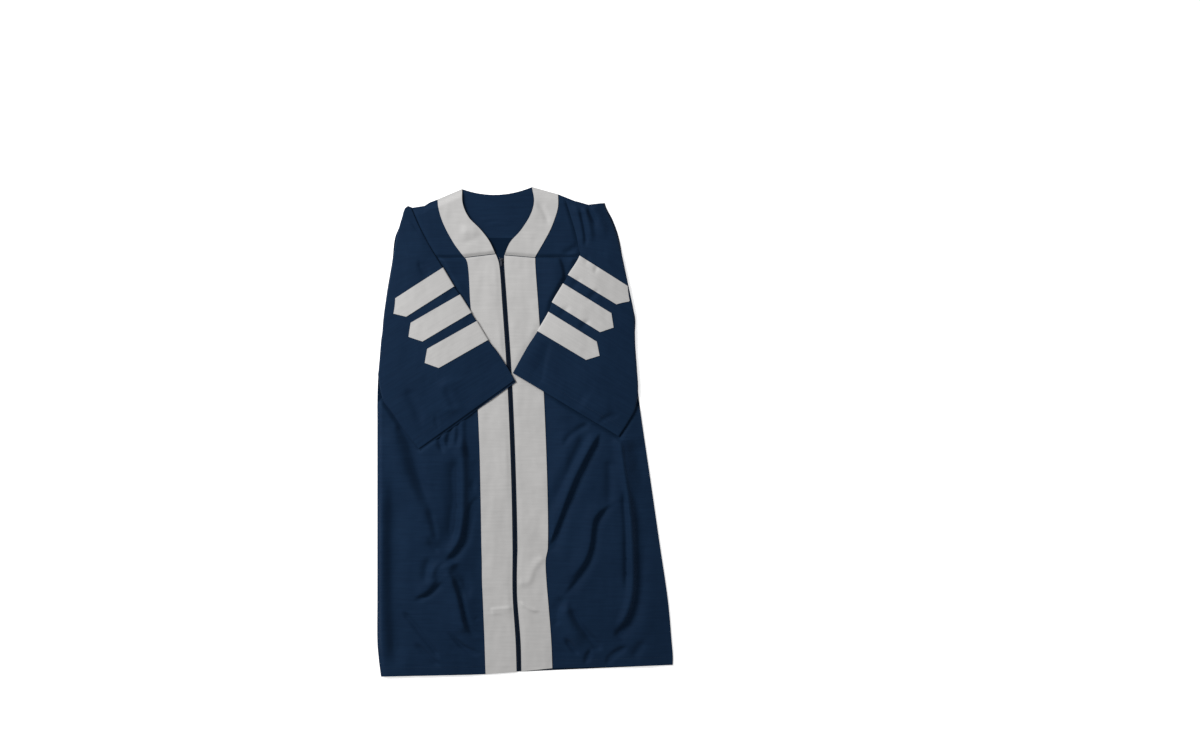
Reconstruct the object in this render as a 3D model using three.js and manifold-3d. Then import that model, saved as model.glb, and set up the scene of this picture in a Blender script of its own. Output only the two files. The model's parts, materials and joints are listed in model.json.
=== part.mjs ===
// A graduation gown laid flat, face up, with its bell sleeves folded over onto the front.
// Millimetres, +Z up, +Y towards the neck. Left and right are the wearer's, so the wearer's right is at -X.
import * as THREE from "three";
import { mergeVertices } from "three/addons/utils/BufferGeometryUtils.js";
import Module from "manifold-3d";

// Cloth and the stack of layers
const CLOTH = 1.0;
const SEAM_GAP = 0.3;
const BACK_TOP = CLOTH;
const FRONT_BOTTOM = BACK_TOP + SEAM_GAP;
const FRONT_TOP = FRONT_BOTTOM + CLOTH;
const BAND_BOTTOM = FRONT_TOP + SEAM_GAP;

// Body
const BACK_YOKE_SEAM_Y = 520;
const BACK_NECK_DIP = 36;
const ARMHOLE_INSET = 15;
const ARMHOLE_END_Y = { right: 100, left: 84 };
const ARMHOLE_RUN_OUT = 26;
const SHOULDER_TIP_DROP = 6;
const FOLD_RUN_OUT = 14;
const HEM_Y = {
  right: { side: -655, centre: -643 },
  left: { side: -624, centre: -641 },
};

// Panel grids
const COVERED_SHARE = 0.31;
const COVERED_ROWS = 6;
const OPEN_ROWS = 32;
const SIDE_COLUMNS = 17;
const BAND_COLUMNS = 4;
const YOKE_ROWS = 10;
const YOKE_COLUMNS = 5;
const BODY_EDGE_STEPS = 20;
const YOKE_EDGE_STEPS = 6;
const NECK_STEPS = 10;
const CREST_STEPS = 24;

// Sleeves and their bars
const FOLD_RADIUS = 2;
const ROLL = 5;
const UNDER_INSET = 9;
const SLEEVE_CLEAR = 1.6;
const ARCH = 0.75;
const BAR_STRAIGHT = 151;
const BAR_POINT = 25;
const BAR_RETURN = 14;
const BAR_GAP = 0.35;
const BAR_CORNER = 2;
const BAR_DIVISIONS = 4;
const REST_DIVISIONS = 4;
const UNDER_DIVISIONS = 5;
const ROLL_STEPS = 3;
const FOLD_STEPS = 4;

// Zip
const COIL_WIDTH = 5;
const ZIP_STEPS = 24;
const TAPE_CLEAR = 0.9;
const COIL_TOP = 3.2;
const SLIDER_Y = 461;
const SLIDER = { wide: 8.6, narrow: 6.2, up: 5, down: 6, top: 4.7, corner: 2 };
const CROWN = { radius: 3, width: 2.4, eye: 1.35, height: 2 };
const PULL = { width: 5.4, length: 16.5, thick: 1.3, bar: 0.8, window: 1.6, root: 3.4, hole: 1.1, tilt: 8 };
const ROUND_STEPS = 8;

const NAVY = { color: 0x14253b, roughness: 0.85, metalness: 0 };
const WHITE = { color: 0xb9b8b7, roughness: 0.7, metalness: 0 };
const TAPE = { color: 0x1a2230, roughness: 0.9, metalness: 0 };
const METAL = { color: 0x2e3440, roughness: 0.45, metalness: 0.3 };

// Outer edge of the gown on each side, from the shoulder tips to the hem
const SIDES = [
  { y: 612, right: -312, left: 212 },
  { y: 590, right: -324, left: 219 },
  { y: 560, right: -331, left: 237 },
  { y: 520, right: -347, left: 253 },
  { y: 460, right: -354, left: 264 },
  { y: 390, right: -366, left: 278 },
  { y: 350, right: -372, left: 285 },
  { y: 305, right: -378, left: 297 },
  { y: 255, right: -382, left: 296 },
  { y: 165, right: -391, left: 302 },
  { y: 100, right: -394, left: 305.5 },
  { y: 30, right: -394, left: 314.5 },
  { y: -130, right: -394, left: 338 },
  { y: -300, right: -394, left: 362.5 },
  { y: -450, right: -394, left: 384.5 },
  { y: -560, right: -394, left: 394.5 },
  { y: -610, right: -390, left: 398 },
  { y: -657, right: -384, left: 394 },
];

// Shoulder line seen from above, from one sleeve's tip to the other with the neck between
const SHOULDER = [
  { x: -320, y: 600 },
  { x: -312, y: 606 },
  { x: -300, y: 601 },
  { x: -268, y: 606 },
  { x: -254, y: 615 },
  { x: -233, y: 623 },
  { x: -167, y: 651 },
  { x: 20, y: 656.5 },
  { x: 90, y: 637 },
  { x: 135, y: 619 },
  { x: 171, y: 608.5 },
  { x: 212, y: 613.5 },
];

// Centre front: the zip's middle, half the gap between the bands, and each white band's width
const CENTRE = [
  { y: 480, zip: -66, gap: 12, right: 87, left: 83 },
  { y: 450, zip: -61, gap: 7, right: 84, left: 83 },
  { y: 350, zip: -53.5, gap: 6.6, right: 85, left: 83 },
  { y: 165, zip: -41, gap: 6.6, right: 83, left: 83 },
  { y: -20, zip: -32.5, gap: 6.6, right: 82, left: 83 },
  { y: -180, zip: -27.5, gap: 6.6, right: 83, left: 83 },
  { y: -310, zip: -25.2, gap: 6.8, right: 83, left: 81 },
  { y: -343, zip: -25.6, gap: 6.4, right: 82, left: 76 },
  { y: -400, zip: -26.2, gap: 6.2, right: 81, left: 79 },
  { y: -450, zip: -25, gap: 6.2, right: 80, left: 82 },
  { y: -560, zip: -17, gap: 6.8, right: 83, left: 82 },
  { y: -645, zip: -14.5, gap: 6.6, right: 83, left: 83 },
];

// Front yokes, a row from the shoulder down to the yoke seam: armhole side, white band's outer edge, neck edge
const YOKES = {
  right: [
    { side: [-303, 602], edge: [-233, 623], neck: [-167, 651] },
    { side: [-311, 577], edge: [-230, 600], neck: [-165, 611] },
    { side: [-321, 548], edge: [-222, 571], neck: [-149, 575] },
    { side: [-332, 517], edge: [-208, 539], neck: [-119, 544] },
    { side: [-336, 490], edge: [-186, 501], neck: [-95, 513] },
    { side: [-339, 468], edge: [-161, 468], neck: [-78, 478] },
  ],
  left: [
    { side: [198, 611], edge: [90, 637], neck: [20, 656.5] },
    { side: [211, 577], edge: [90, 604], neck: [26, 618] },
    { side: [224, 548], edge: [82, 574], neck: [16, 581] },
    { side: [236, 517], edge: [69, 541], neck: [-9, 541] },
    { side: [243, 490], edge: [49, 504], neck: [-38, 508] },
    { side: [247, 471], edge: [28, 468], neck: [-53, 475] },
  ],
};

// Folds of the fronts and of the sleeves' upper layers: height of the crest, width of the slope on each hand
// of it, and the crest's path from start to end
const FOLDS = {
  front_right: [
    {
      height: 8, leftHand: 18, rightHand: 22,
      path: [[-170, -10], [-163, -102], [-166, -236], [-180, -296], [-208, -340]],
    },
    {
      height: 8, leftHand: 24, rightHand: 36,
      path: [[-345, -30], [-334, -82], [-307, -149], [-273, -216], [-228, -315]],
    },
    {
      height: 6, leftHand: 22, rightHand: 18,
      path: [[-384, -80], [-384, -236], [-382, -437], [-369, -640]],
    },
    {
      height: 9, leftHand: 24, rightHand: 26,
      path: [[-216, -350], [-205, -385], [-188, -440], [-168, -514], [-151, -539]],
    },
    {
      height: 6, leftHand: 18, rightHand: 26,
      path: [[-224, -392], [-263, -423], [-292, -440]],
    },
  ],
  front_left: [
    {
      height: 9, leftHand: 18, rightHand: 32,
      path: [[203, 4], [165, -62], [137, -115], [112, -176], [90, -236], [62, -309]],
    },
    {
      height: 5, leftHand: 20, rightHand: 32,
      path: [[150, 10], [120, -60], [92, -130], [72, -190]],
    },
    {
      height: 9, leftHand: 24, rightHand: 20,
      path: [[249, -8], [266, -88], [283, -236], [289, -370], [286, -437], [245, -528]],
    },
    {
      height: 7, leftHand: 18, rightHand: 32,
      path: [[228, -190], [186, -229], [179, -269], [174, -303], [159, -343], [109, -410]],
    },
    {
      height: 8, leftHand: 26, rightHand: 24,
      path: [[96, -456], [115, -500], [135, -540], [160, -580]],
    },
  ],
  sleeve_right: [
    {
      height: 3, leftHand: 14, rightHand: 22,
      path: [[-300, 585], [-274, 532], [-240, 462]],
    },
    {
      height: 5, leftHand: 24, rightHand: 30,
      path: [[-352, 95], [-318, 55], [-290, -10]],
    },
    {
      height: 5, leftHand: 26, rightHand: 22,
      path: [[-214, 150], [-200, 95], [-196, 40]],
    },
  ],
  sleeve_left: [
    {
      height: 5, leftHand: 14, rightHand: 16,
      path: [[130, 606], [145, 572], [154, 530], [152, 498]],
    },
    {
      height: 5, leftHand: 14, rightHand: 16,
      path: [[158, 604], [168, 572], [176, 535], [180, 500]],
    },
    {
      height: 5, leftHand: 16, rightHand: 18,
      path: [[180, 604], [198, 580], [210, 550], [214, 505]],
    },
    {
      height: 6, leftHand: 26, rightHand: 18,
      path: [[34, 256], [12, 210], [-8, 170]],
    },
    {
      height: 5, leftHand: 20, rightHand: 26,
      path: [[150, 90], [200, 64], [240, 56]],
    },
  ],
};

// Sleeves, a row for each station from the shoulder to the cuff: overarm fold, outer edge, height of the
// underside, loft between the layers, and how far the outer edge is the sewn underarm (1) or the armhole (0)
const STATIONS = {
  right: [
    { fold: [-303, 600], outer: [-321, 599], under: 2.7, loft: 0, underarm: 0 },
    { fold: [-280, 547], outer: [-338, 541], under: 2.7, loft: 1, underarm: 0 },
    { fold: [-253, 496], outer: [-347, 498], under: 3.2, loft: 2, underarm: 0 },
    { fold: [-234, 465], outer: [-358, 429], under: 4.4, loft: 3, underarm: 0 },
    { bar: 1, fold: [-218.4, 440], outer: [-373, 340], under: 5.4, loft: 4, underarm: 0 },
    { bar: 1, fold: [-188.4, 389.7], outer: [-381, 267], under: 5.4, loft: 5, underarm: 0 },
    { bar: 2, fold: [-173, 368], outer: [-384, 246], under: 5.4, loft: 5, underarm: 0 },
    { bar: 2, fold: [-142.3, 319.7], outer: [-390, 172], under: 5.4, loft: 6, underarm: 0 },
    { bar: 3, fold: [-127.8, 297], outer: [-392, 148], under: 5.4, loft: 6, underarm: 0 },
    { bar: 3, fold: [-97.3, 246.6], outer: [-378, 86], under: 5.4, loft: 7, underarm: 1 },
    { fold: [-73, 215.5], outer: [-354, 52], under: 5.5, loft: 6, underarm: 1 },
    { fold: [-49, 179.6], outer: [-321, 4], under: 5.4, loft: 4, underarm: 1 },
    { fold: [-26, 140], outer: [-283, -44], under: 5.4, loft: 1.5, underarm: 1 },
  ],
  left: [
    { fold: [111, 620], outer: [212, 612], under: 2.7, loft: 3, underarm: 0 },
    { fold: [123, 581.6], outer: [230.5, 571], under: 2.7, loft: 4, underarm: 0 },
    { fold: [136.7, 536], outer: [249, 525], under: 3.2, loft: 4, underarm: 0 },
    { fold: [145.5, 493], outer: [262, 472], under: 4.4, loft: 4, underarm: 0 },
    { bar: 1, fold: [148.7, 471.7], outer: [279.5, 389], under: 5.4, loft: 4, underarm: 0 },
    { bar: 1, fold: [117.4, 420.2], outer: [295, 312], under: 5.4, loft: 5, underarm: 0 },
    { bar: 2, fold: [104.3, 397.4], outer: [296, 279], under: 5.4, loft: 5, underarm: 0 },
    { bar: 2, fold: [74.5, 347], outer: [298, 208], under: 5.4, loft: 6, underarm: 0 },
    { bar: 3, fold: [65.4, 321.6], outer: [301, 175], under: 5.4, loft: 6, underarm: 0 },
    { bar: 3, fold: [35.4, 270.4], outer: [304.7, 110], under: 5.4, loft: 7, underarm: 0 },
    { fold: [9.4, 230.5], outer: [296, 62], under: 5.5, loft: 6, underarm: 1 },
    { fold: [-12, 193], outer: [277.4, 27], under: 5.4, loft: 4, underarm: 1 },
    { fold: [-31, 158], outer: [253, -11.5], under: 5.4, loft: 1.5, underarm: 1 },
  ],
};

const wasm = await Module();
wasm.setup();
const gown = new THREE.Group();

// Small helpers

function mix(a, b, share) {
  return a + (b - a) * share;
}

function ease(share) {
  return THREE.MathUtils.smoothstep(share, 0, 1);
}

function steps(count, from = 0, to = 1) {
  return Array.from({ length: count + 1 }, (_, i) => mix(from, to, i / count));
}

// One column of a table at a place along its first column, eased through the rows by a cubic
function columnAt(rows, column, place, key = "y") {
  const turn = rows[1][key] < rows[0][key] ? -1 : 1;
  let i = rows.findIndex((row) => turn * row[key] > turn * place) - 1;
  if (i === -2) i = rows.length - 2;
  i = Math.max(i, 0);
  const slope = (j) => {
    const a = rows[Math.max(j - 1, 0)];
    const b = rows[Math.min(j + 1, rows.length - 1)];
    return (b[column] - a[column]) / (b[key] - a[key]);
  };
  const span = rows[i + 1][key] - rows[i][key];
  const t = THREE.MathUtils.clamp((place - rows[i][key]) / span, 0, 1);
  const bend = 2 * t ** 3 - 3 * t ** 2;
  return (
    rows[i][column] * (1 + bend) -
    rows[i + 1][column] * bend +
    slope(i) * span * (t ** 3 - 2 * t ** 2 + t) +
    slope(i + 1) * span * (t ** 3 - t ** 2)
  );
}

function shoulderY(x) {
  const i = Math.max(SHOULDER.findIndex((row) => row.x > x), 1);
  const [a, b] = [SHOULDER[i - 1], SHOULDER[i]];
  return mix(a.y, b.y, THREE.MathUtils.clamp((x - a.x) / (b.x - a.x), 0, 1));
}

function add(name, geometry, finish) {
  const mesh = new THREE.Mesh(geometry, new THREE.MeshStandardMaterial(finish));
  mesh.name = name;
  gown.add(mesh);
  return mesh;
}

function volumeOf(points, faces) {
  let six = 0;
  for (let i = 0; i < faces.length; i += 3) {
    const [a, b, c] = [points[faces[i]], points[faces[i + 1]], points[faces[i + 2]]];
    six += a.dot(b.clone().cross(c));
  }
  return six / 6;
}

// A closed wall between an outer and an inner grid of points with the same rows and columns
function wall(outer, inner) {
  const rows = outer.length;
  const columns = outer[0].length;
  const points = [...outer.flat(), ...inner.flat()];
  const at = (layer, r, c) => layer * rows * columns + r * columns + c;
  const faces = [];
  const quad = (a, b, c, d) => faces.push(a, b, c, a, c, d);
  for (let r = 0; r < rows - 1; r++) {
    for (let c = 0; c < columns - 1; c++) {
      quad(at(0, r, c), at(0, r + 1, c), at(0, r + 1, c + 1), at(0, r, c + 1));
      quad(at(1, r, c), at(1, r, c + 1), at(1, r + 1, c + 1), at(1, r + 1, c));
    }
    quad(at(0, r, 0), at(1, r, 0), at(1, r + 1, 0), at(0, r + 1, 0));
    quad(at(0, r, columns - 1), at(0, r + 1, columns - 1), at(1, r + 1, columns - 1), at(1, r, columns - 1));
  }
  for (let c = 0; c < columns - 1; c++) {
    quad(at(0, 0, c), at(0, 0, c + 1), at(1, 0, c + 1), at(1, 0, c));
    quad(at(0, rows - 1, c), at(1, rows - 1, c), at(1, rows - 1, c + 1), at(0, rows - 1, c + 1));
  }
  if (volumeOf(points, faces) < 0) faces.reverse();
  const geometry = new THREE.BufferGeometry().setFromPoints(points);
  return geometry.setIndex(faces);
}

// A wall that stands on a grid of points, from one height above it to another
function layerOn(grid, from, to) {
  const raised = (height) => grid.map((row) => row.map((p) => new THREE.Vector3(p.x, p.y, p.z + height)));
  return wall(raised(to), raised(from));
}

// Back body and back yoke: flat plates that rest on the floor

function sideEdge(side, fromY, toY, count) {
  return steps(count, fromY, toY).map((y) => new THREE.Vector2(columnAt(SIDES, side, y), y));
}

function plate(outline, thickness) {
  return new THREE.ExtrudeGeometry(new THREE.Shape(outline), { depth: thickness, bevelEnabled: false });
}

function backBody() {
  const top = BACK_YOKE_SEAM_Y - SEAM_GAP;
  const centreHem = new THREE.Vector2(columnAt(CENTRE, "zip", HEM_Y.right.centre), HEM_Y.left.centre);
  return plate(
    [
      ...sideEdge("right", top, HEM_Y.right.side, BODY_EDGE_STEPS),
      centreHem,
      ...sideEdge("left", HEM_Y.left.side, top, BODY_EDGE_STEPS),
    ],
    CLOTH,
  );
}

function backYoke() {
  const points = SHOULDER.map((row) => new THREE.Vector2(row.x, row.y));
  const neckStart = points.findIndex((p) => p.x > 0) - 1;
  const [from, to] = [points[neckStart], points[neckStart + 1]];
  const middle = from.clone().lerp(to, 0.5);
  middle.y -= BACK_NECK_DIP;
  const neck = new THREE.QuadraticBezierCurve(from, middle, to).getPoints(NECK_STEPS);
  const rightTip = points[0].y - SHOULDER_TIP_DROP;
  const leftTip = points[points.length - 1].y - SHOULDER_TIP_DROP;
  return plate(
    [
      ...sideEdge("left", BACK_YOKE_SEAM_Y, leftTip, YOKE_EDGE_STEPS),
      ...points.slice(neckStart + 2).reverse(),
      ...neck.reverse(),
      ...points.slice(0, neckStart).reverse(),
      ...sideEdge("right", rightTip, BACK_YOKE_SEAM_Y, YOKE_EDGE_STEPS),
    ],
    CLOTH,
  );
}

// Folds: soft ridges along a crest path, steeper on one hand than on the other

function crestOf(fold) {
  const curve = new THREE.CatmullRomCurve3(fold.path.map(([x, y]) => new THREE.Vector3(x, y, 0)));
  return curve.getPoints(CREST_STEPS);
}

for (const fold of Object.values(FOLDS).flat()) fold.crest = crestOf(fold);

function heightOfFold(fold, x, y) {
  const last = fold.crest.length - 1;
  let nearest = Infinity;
  let along = 0;
  let hand = 1;
  for (let i = 0; i < last; i++) {
    const [a, b] = [fold.crest[i], fold.crest[i + 1]];
    const run = b.clone().sub(a);
    const t = THREE.MathUtils.clamp(((x - a.x) * run.x + (y - a.y) * run.y) / run.lengthSq(), 0, 1);
    const away = Math.hypot(x - a.x - run.x * t, y - a.y - run.y * t);
    if (away < nearest) {
      nearest = away;
      along = (i + t) / last;
      hand = Math.sign(run.x * (y - a.y) - run.y * (x - a.x));
    }
  }
  const width = hand > 0 ? fold.leftHand : fold.rightHand;
  return fold.height * Math.sqrt(Math.sin(Math.PI * along)) * Math.exp(-((nearest / width) ** 2));
}

function foldsAt(panel, x, y) {
  return Math.hypot(...FOLDS[panel].map((fold) => heightOfFold(fold, x, y)));
}

// Navy fronts: a grid from the side to the zip, whose last columns lie under the white band

function frontSideX(side, y) {
  const inset = ARMHOLE_INSET * ease((y - ARMHOLE_END_Y[side] + ARMHOLE_RUN_OUT) / ARMHOLE_RUN_OUT);
  const towardsMiddle = side === "right" ? 1 : -1;
  return columnAt(SIDES, side, y) + towardsMiddle * inset;
}

function centreEdges(side, y) {
  const outwards = side === "right" ? -1 : 1;
  const zipEdge = columnAt(CENTRE, "zip", y) + outwards * columnAt(CENTRE, "gap", y);
  return { zipEdge, bandEdge: zipEdge + outwards * columnAt(CENTRE, side, y) };
}

function frontGrid(side) {
  const seam = YOKES[side][YOKES[side].length - 1];
  const rows = [...steps(COVERED_ROWS, 0, COVERED_SHARE), ...steps(OPEN_ROWS, COVERED_SHARE, 1).slice(1)];
  const columns = [...steps(SIDE_COLUMNS), ...steps(BAND_COLUMNS, 1, 2).slice(1)];
  const tops = [seam.side[1], seam.edge[1], seam.neck[1]].map((y) => y - SEAM_GAP);
  const hem = HEM_Y[side];
  return rows.map((down) =>
    columns.map((across) => {
      const part = Math.min(Math.floor(across), 1);
      const top = mix(tops[part], tops[part + 1], across - part);
      const y = mix(top, mix(hem.side, hem.centre, across / 2), down);
      const { zipEdge, bandEdge } = centreEdges(side, y);
      const sideX = frontSideX(side, y);
      const x = across < 1 ? mix(sideX, bandEdge, across) : mix(bandEdge, zipEdge, across - 1);
      const room = Math.min(Math.abs(x - sideX), Math.abs(x - zipEdge));
      return new THREE.Vector3(x, y, foldsAt(`front_${side}`, x, y) * ease(room / FOLD_RUN_OUT));
    }),
  );
}

function bandPart(grid, sideColumns) {
  return grid.map((row) => row.slice(sideColumns));
}

// Front yokes, with the white band round the neck on their last columns

function yokeGrid(side) {
  const edges = ["side", "edge", "neck"].map(
    (edge) => new THREE.SplineCurve(YOKES[side].map((row) => new THREE.Vector2(...row[edge]))),
  );
  const columns = [...steps(YOKE_COLUMNS), ...steps(BAND_COLUMNS, 1, 2).slice(1)];
  return steps(YOKE_ROWS).map((down) =>
    columns.map((across) => {
      const part = Math.min(Math.floor(across), 1);
      const between = (t) => edges[part].getPoint(t).lerp(edges[part + 1].getPoint(t), across - part);
      const top = between(0);
      const point = between(down);
      const lift = (shoulderY(top.x) - top.y) * (1 - down);
      return new THREE.Vector3(point.x, point.y + lift, 0);
    }),
  );
}

function fronts(side) {
  const lower = frontGrid(side);
  const upper = yokeGrid(side);
  add(`front_${side}`, layerOn(lower, FRONT_BOTTOM, FRONT_TOP), NAVY);
  add(`front_yoke_${side}`, layerOn(upper, FRONT_BOTTOM, FRONT_TOP), NAVY);
  add(`band_${side}`, layerOn(bandPart(lower, SIDE_COLUMNS), BAND_BOTTOM, BAND_BOTTOM + CLOTH), WHITE);
  add(`band_yoke_${side}`, layerOn(bandPart(upper, YOKE_COLUMNS), BAND_BOTTOM, BAND_BOTTOM + CLOTH), WHITE);
}

// Sleeves: one sheet folded at the overarm, through a section at each station

function between(a, b, share) {
  const pair = (p, q) => [mix(p[0], q[0], share), mix(p[1], q[1], share)];
  return {
    ...a,
    fold: pair(a.fold, b.fold),
    outer: pair(a.outer, b.outer),
    under: mix(a.under, b.under, share),
    loft: mix(a.loft, b.loft, share),
    underarm: mix(a.underarm, b.underarm, share),
  };
}

// The stations with one more in the middle of each bar, where its point lies, and of each stretch with no bar
function stationsOf(side) {
  const made = [];
  STATIONS[side].forEach((row, i, rows) => {
    made.push(row);
    const next = rows[i + 1];
    if (next && row.bar === next.bar) made.push(between(row, next, 0.5));
  });
  return made.map((row) => {
    const length = Math.hypot(row.outer[0] - row.fold[0], row.outer[1] - row.fold[1]);
    return { ...row, side, length };
  });
}

function placed({ fold, outer, length }, [q, z]) {
  return new THREE.Vector3(mix(fold[0], outer[0], q / length), mix(fold[1], outer[1], q / length), z);
}

// Height of a sleeve's upper layer at a distance from the overarm fold
function topHeight(station, q) {
  const arch = Math.sin(Math.PI * THREE.MathUtils.clamp(q / station.length, 0, 1)) ** ARCH;
  const { x, y } = placed(station, [q, 0]);
  return station.under + 2 * FOLD_RADIUS + arch * (station.loft + foldsAt(`sleeve_${station.side}`, x, y));
}

// The outer edge, which rolls down to the back at the armhole and meets the under layer at the underarm
function outerRoll(station, flatEnd) {
  const edge = mix(FRONT_BOTTOM, station.under + FOLD_RADIUS + SEAM_GAP / 2, station.underarm);
  const rollFrom = topHeight(station, flatEnd);
  return steps(ROLL_STEPS, 0, Math.PI / 2).map((turn) => [
    flatEnd + ROLL * Math.cos(turn),
    mix(edge, rollFrom, Math.sin(turn)),
  ]);
}

function roundTheFold({ under }) {
  const turns = steps(FOLD_STEPS, Math.PI / 2, (3 * Math.PI) / 2).slice(1);
  return turns.map((turn) => [
    FOLD_RADIUS + FOLD_RADIUS * Math.cos(turn),
    under + FOLD_RADIUS + FOLD_RADIUS * Math.sin(turn),
  ]);
}

function underLayer({ under, underarm }, flatEnd) {
  const end = flatEnd - UNDER_INSET * (1 - underarm);
  const rise = (FOLD_RADIUS - SEAM_GAP / 2) * underarm;
  const places = steps(UNDER_DIVISIONS, FOLD_RADIUS, end).slice(1);
  const turns = steps(ROLL_STEPS, Math.PI / 2, 0).slice(1);
  return [
    ...places.map((q) => [q, under]),
    ...turns.map((turn) => [end + ROLL * Math.cos(turn), under + rise * (1 - Math.sin(turn))]),
  ];
}

// One section as [distance from the overarm fold, height], from the outer edge over the top and back underneath
function sectionOf(station) {
  const flatEnd = station.length - ROLL;
  const barEnd = Math.min(BAR_STRAIGHT, flatEnd - SLEEVE_CLEAR);
  const barPoint = Math.min(BAR_STRAIGHT + BAR_POINT, flatEnd - SLEEVE_CLEAR / 2);
  const beyondBar = steps(REST_DIVISIONS, flatEnd, barPoint).slice(1);
  const places = [...beyondBar, ...steps(BAR_DIVISIONS, barEnd, FOLD_RADIUS)];
  const top = places.map((q) => [q, topHeight(station, q)]);
  top[top.length - 1][1] = station.under + 2 * FOLD_RADIUS;
  const below = [...roundTheFold(station), ...underLayer(station, flatEnd)];
  return { station, line: [...outerRoll(station, flatEnd), ...top, ...below], barEnd, barPoint };
}

// The section's line moved out along its own normals
function movedOut({ line }, distance) {
  return line.map(([q, z], i) => {
    const a = line[Math.max(i - 1, 0)];
    const b = line[Math.min(i + 1, line.length - 1)];
    const run = Math.hypot(b[0] - a[0], b[1] - a[1]);
    return [q + (distance * (b[1] - a[1])) / run, z - (distance * (b[0] - a[0])) / run];
  });
}

function sleeveRows(sections, distance) {
  return sections.map((made, i) =>
    movedOut(made, distance).map((point) => {
      const spot = placed(made.station, point);
      if (i === 0) spot.y = Math.min(spot.y, shoulderY(spot.x));
      return spot;
    }),
  );
}

// White bars: a strip of the sleeve's own points, moved out, with a point at its outer end and a short return
// below

function barRow(made, distance, isMiddle) {
  const line = movedOut(made, distance);
  const foldTop = ROLL_STEPS + 1 + REST_DIVISIONS + BAR_DIVISIONS;
  const upper = line.slice(0, foldTop + 1);
  const heightAt = (q) => {
    const i = upper.findIndex((point) => point[0] <= q);
    const [a, b] = [upper[i - 1], upper[i]];
    return mix(a[1], b[1], (q - a[0]) / (b[0] - a[0]));
  };
  const ends = isMiddle ? [made.barPoint, made.barEnd] : [made.barEnd, made.barEnd - BAR_CORNER];
  const start = ends.map((q) => [q, heightAt(q)]);
  const round = line.slice(foldTop - BAR_DIVISIONS + 1, foldTop + FOLD_STEPS + 1);
  const back = [BAR_RETURN, round[round.length - 1][1]];
  return [...start, ...round, back].map((point) => placed(made.station, point));
}

function sleeve(side) {
  const sections = stationsOf(side).map(sectionOf);
  add(`sleeve_${side}`, wall(sleeveRows(sections, 0), sleeveRows(sections, -CLOTH)), NAVY);
  for (const number of [1, 2, 3]) {
    const own = sections.filter((made) => made.station.bar === number);
    const rows = (distance) => own.map((made, i) => barRow(made, distance, i === 1));
    add(`bar_${side}_${number}`, wall(rows(BAR_GAP + CLOTH), rows(BAR_GAP)), WHITE);
  }
}

// Zip: two tapes, the closed coil, the slider and its pull tab

function stripGrid(fromX, toX, topY, hemY) {
  return steps(ZIP_STEPS, topY, hemY).map((y) => {
    const zip = columnAt(CENTRE, "zip", y);
    return [fromX(y), toX(y)].map((x) => new THREE.Vector3(zip + x, y, 0));
  });
}

function zipStrips() {
  const top = SLIDER_Y - SLIDER.down - SEAM_GAP;
  const hem = HEM_Y.left.centre;
  const half = COIL_WIDTH / 2;
  const outer = (y) => columnAt(CENTRE, "gap", y) - TAPE_CLEAR;
  const inner = () => half + SEAM_GAP;
  const tape = stripGrid(inner, outer, top, hem);
  const mirrored = stripGrid((y) => -outer(y), () => -inner(), top, hem);
  add("zip_tape_left", layerOn(tape, FRONT_BOTTOM, FRONT_TOP), TAPE);
  add("zip_tape_right", layerOn(mirrored, FRONT_BOTTOM, FRONT_TOP), TAPE);
  add("zip_coil", layerOn(stripGrid(() => -half, () => half, top, hem), FRONT_BOTTOM, COIL_TOP), TAPE);
}

function solidOf(geometry) {
  geometry.deleteAttribute("normal");
  geometry.deleteAttribute("uv");
  const merged = mergeVertices(geometry, 1e-4);
  return new wasm.Manifold(
    new wasm.Mesh({
      numProp: 3,
      vertProperties: merged.attributes.position.array,
      triVerts: new Uint32Array(merged.index.array),
    }),
  );
}

function joined(a, b) {
  const mesh = solidOf(a).add(solidOf(b)).getMesh();
  const geometry = new THREE.BufferGeometry();
  geometry.setAttribute("position", new THREE.BufferAttribute(new Float32Array(mesh.vertProperties), 3));
  return geometry.setIndex(new THREE.BufferAttribute(new Uint32Array(mesh.triVerts), 1));
}

// The slider's pivot is the middle of its crown's eye
function sliderPivot() {
  return new THREE.Vector3(columnAt(CENTRE, "zip", SLIDER_Y), SLIDER_Y, SLIDER.top + CROWN.height);
}

function sliderBody(pivot) {
  const { wide, narrow, up, down, top, corner } = SLIDER;
  const outline = new THREE.Shape();
  outline.moveTo(-narrow / 2, -down);
  outline.lineTo(narrow / 2, -down);
  outline.bezierCurveTo(narrow / 2, 0, wide / 2, 0, wide / 2, up - corner);
  outline.quadraticCurveTo(wide / 2, up, wide / 4, up);
  outline.lineTo(-wide / 4, up);
  outline.quadraticCurveTo(-wide / 2, up, -wide / 2, up - corner);
  outline.bezierCurveTo(-wide / 2, 0, -narrow / 2, 0, -narrow / 2, -down);
  const options = { depth: top - FRONT_BOTTOM, bevelEnabled: false, curveSegments: ROUND_STEPS };
  const body = new THREE.ExtrudeGeometry(outline, options);
  return body.translate(0, 0, FRONT_BOTTOM - pivot.z);
}

function crownBody() {
  const disc = new THREE.Shape().absarc(0, 0, CROWN.radius, 0, 2 * Math.PI);
  disc.holes.push(new THREE.Path().absarc(0, 0, CROWN.eye, 0, 2 * Math.PI, true));
  const options = { depth: CROWN.width, bevelEnabled: false, curveSegments: ROUND_STEPS };
  const crown = new THREE.ExtrudeGeometry(disc, options);
  return crown.translate(0, 0, -CROWN.width / 2).rotateY(Math.PI / 2);
}

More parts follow.
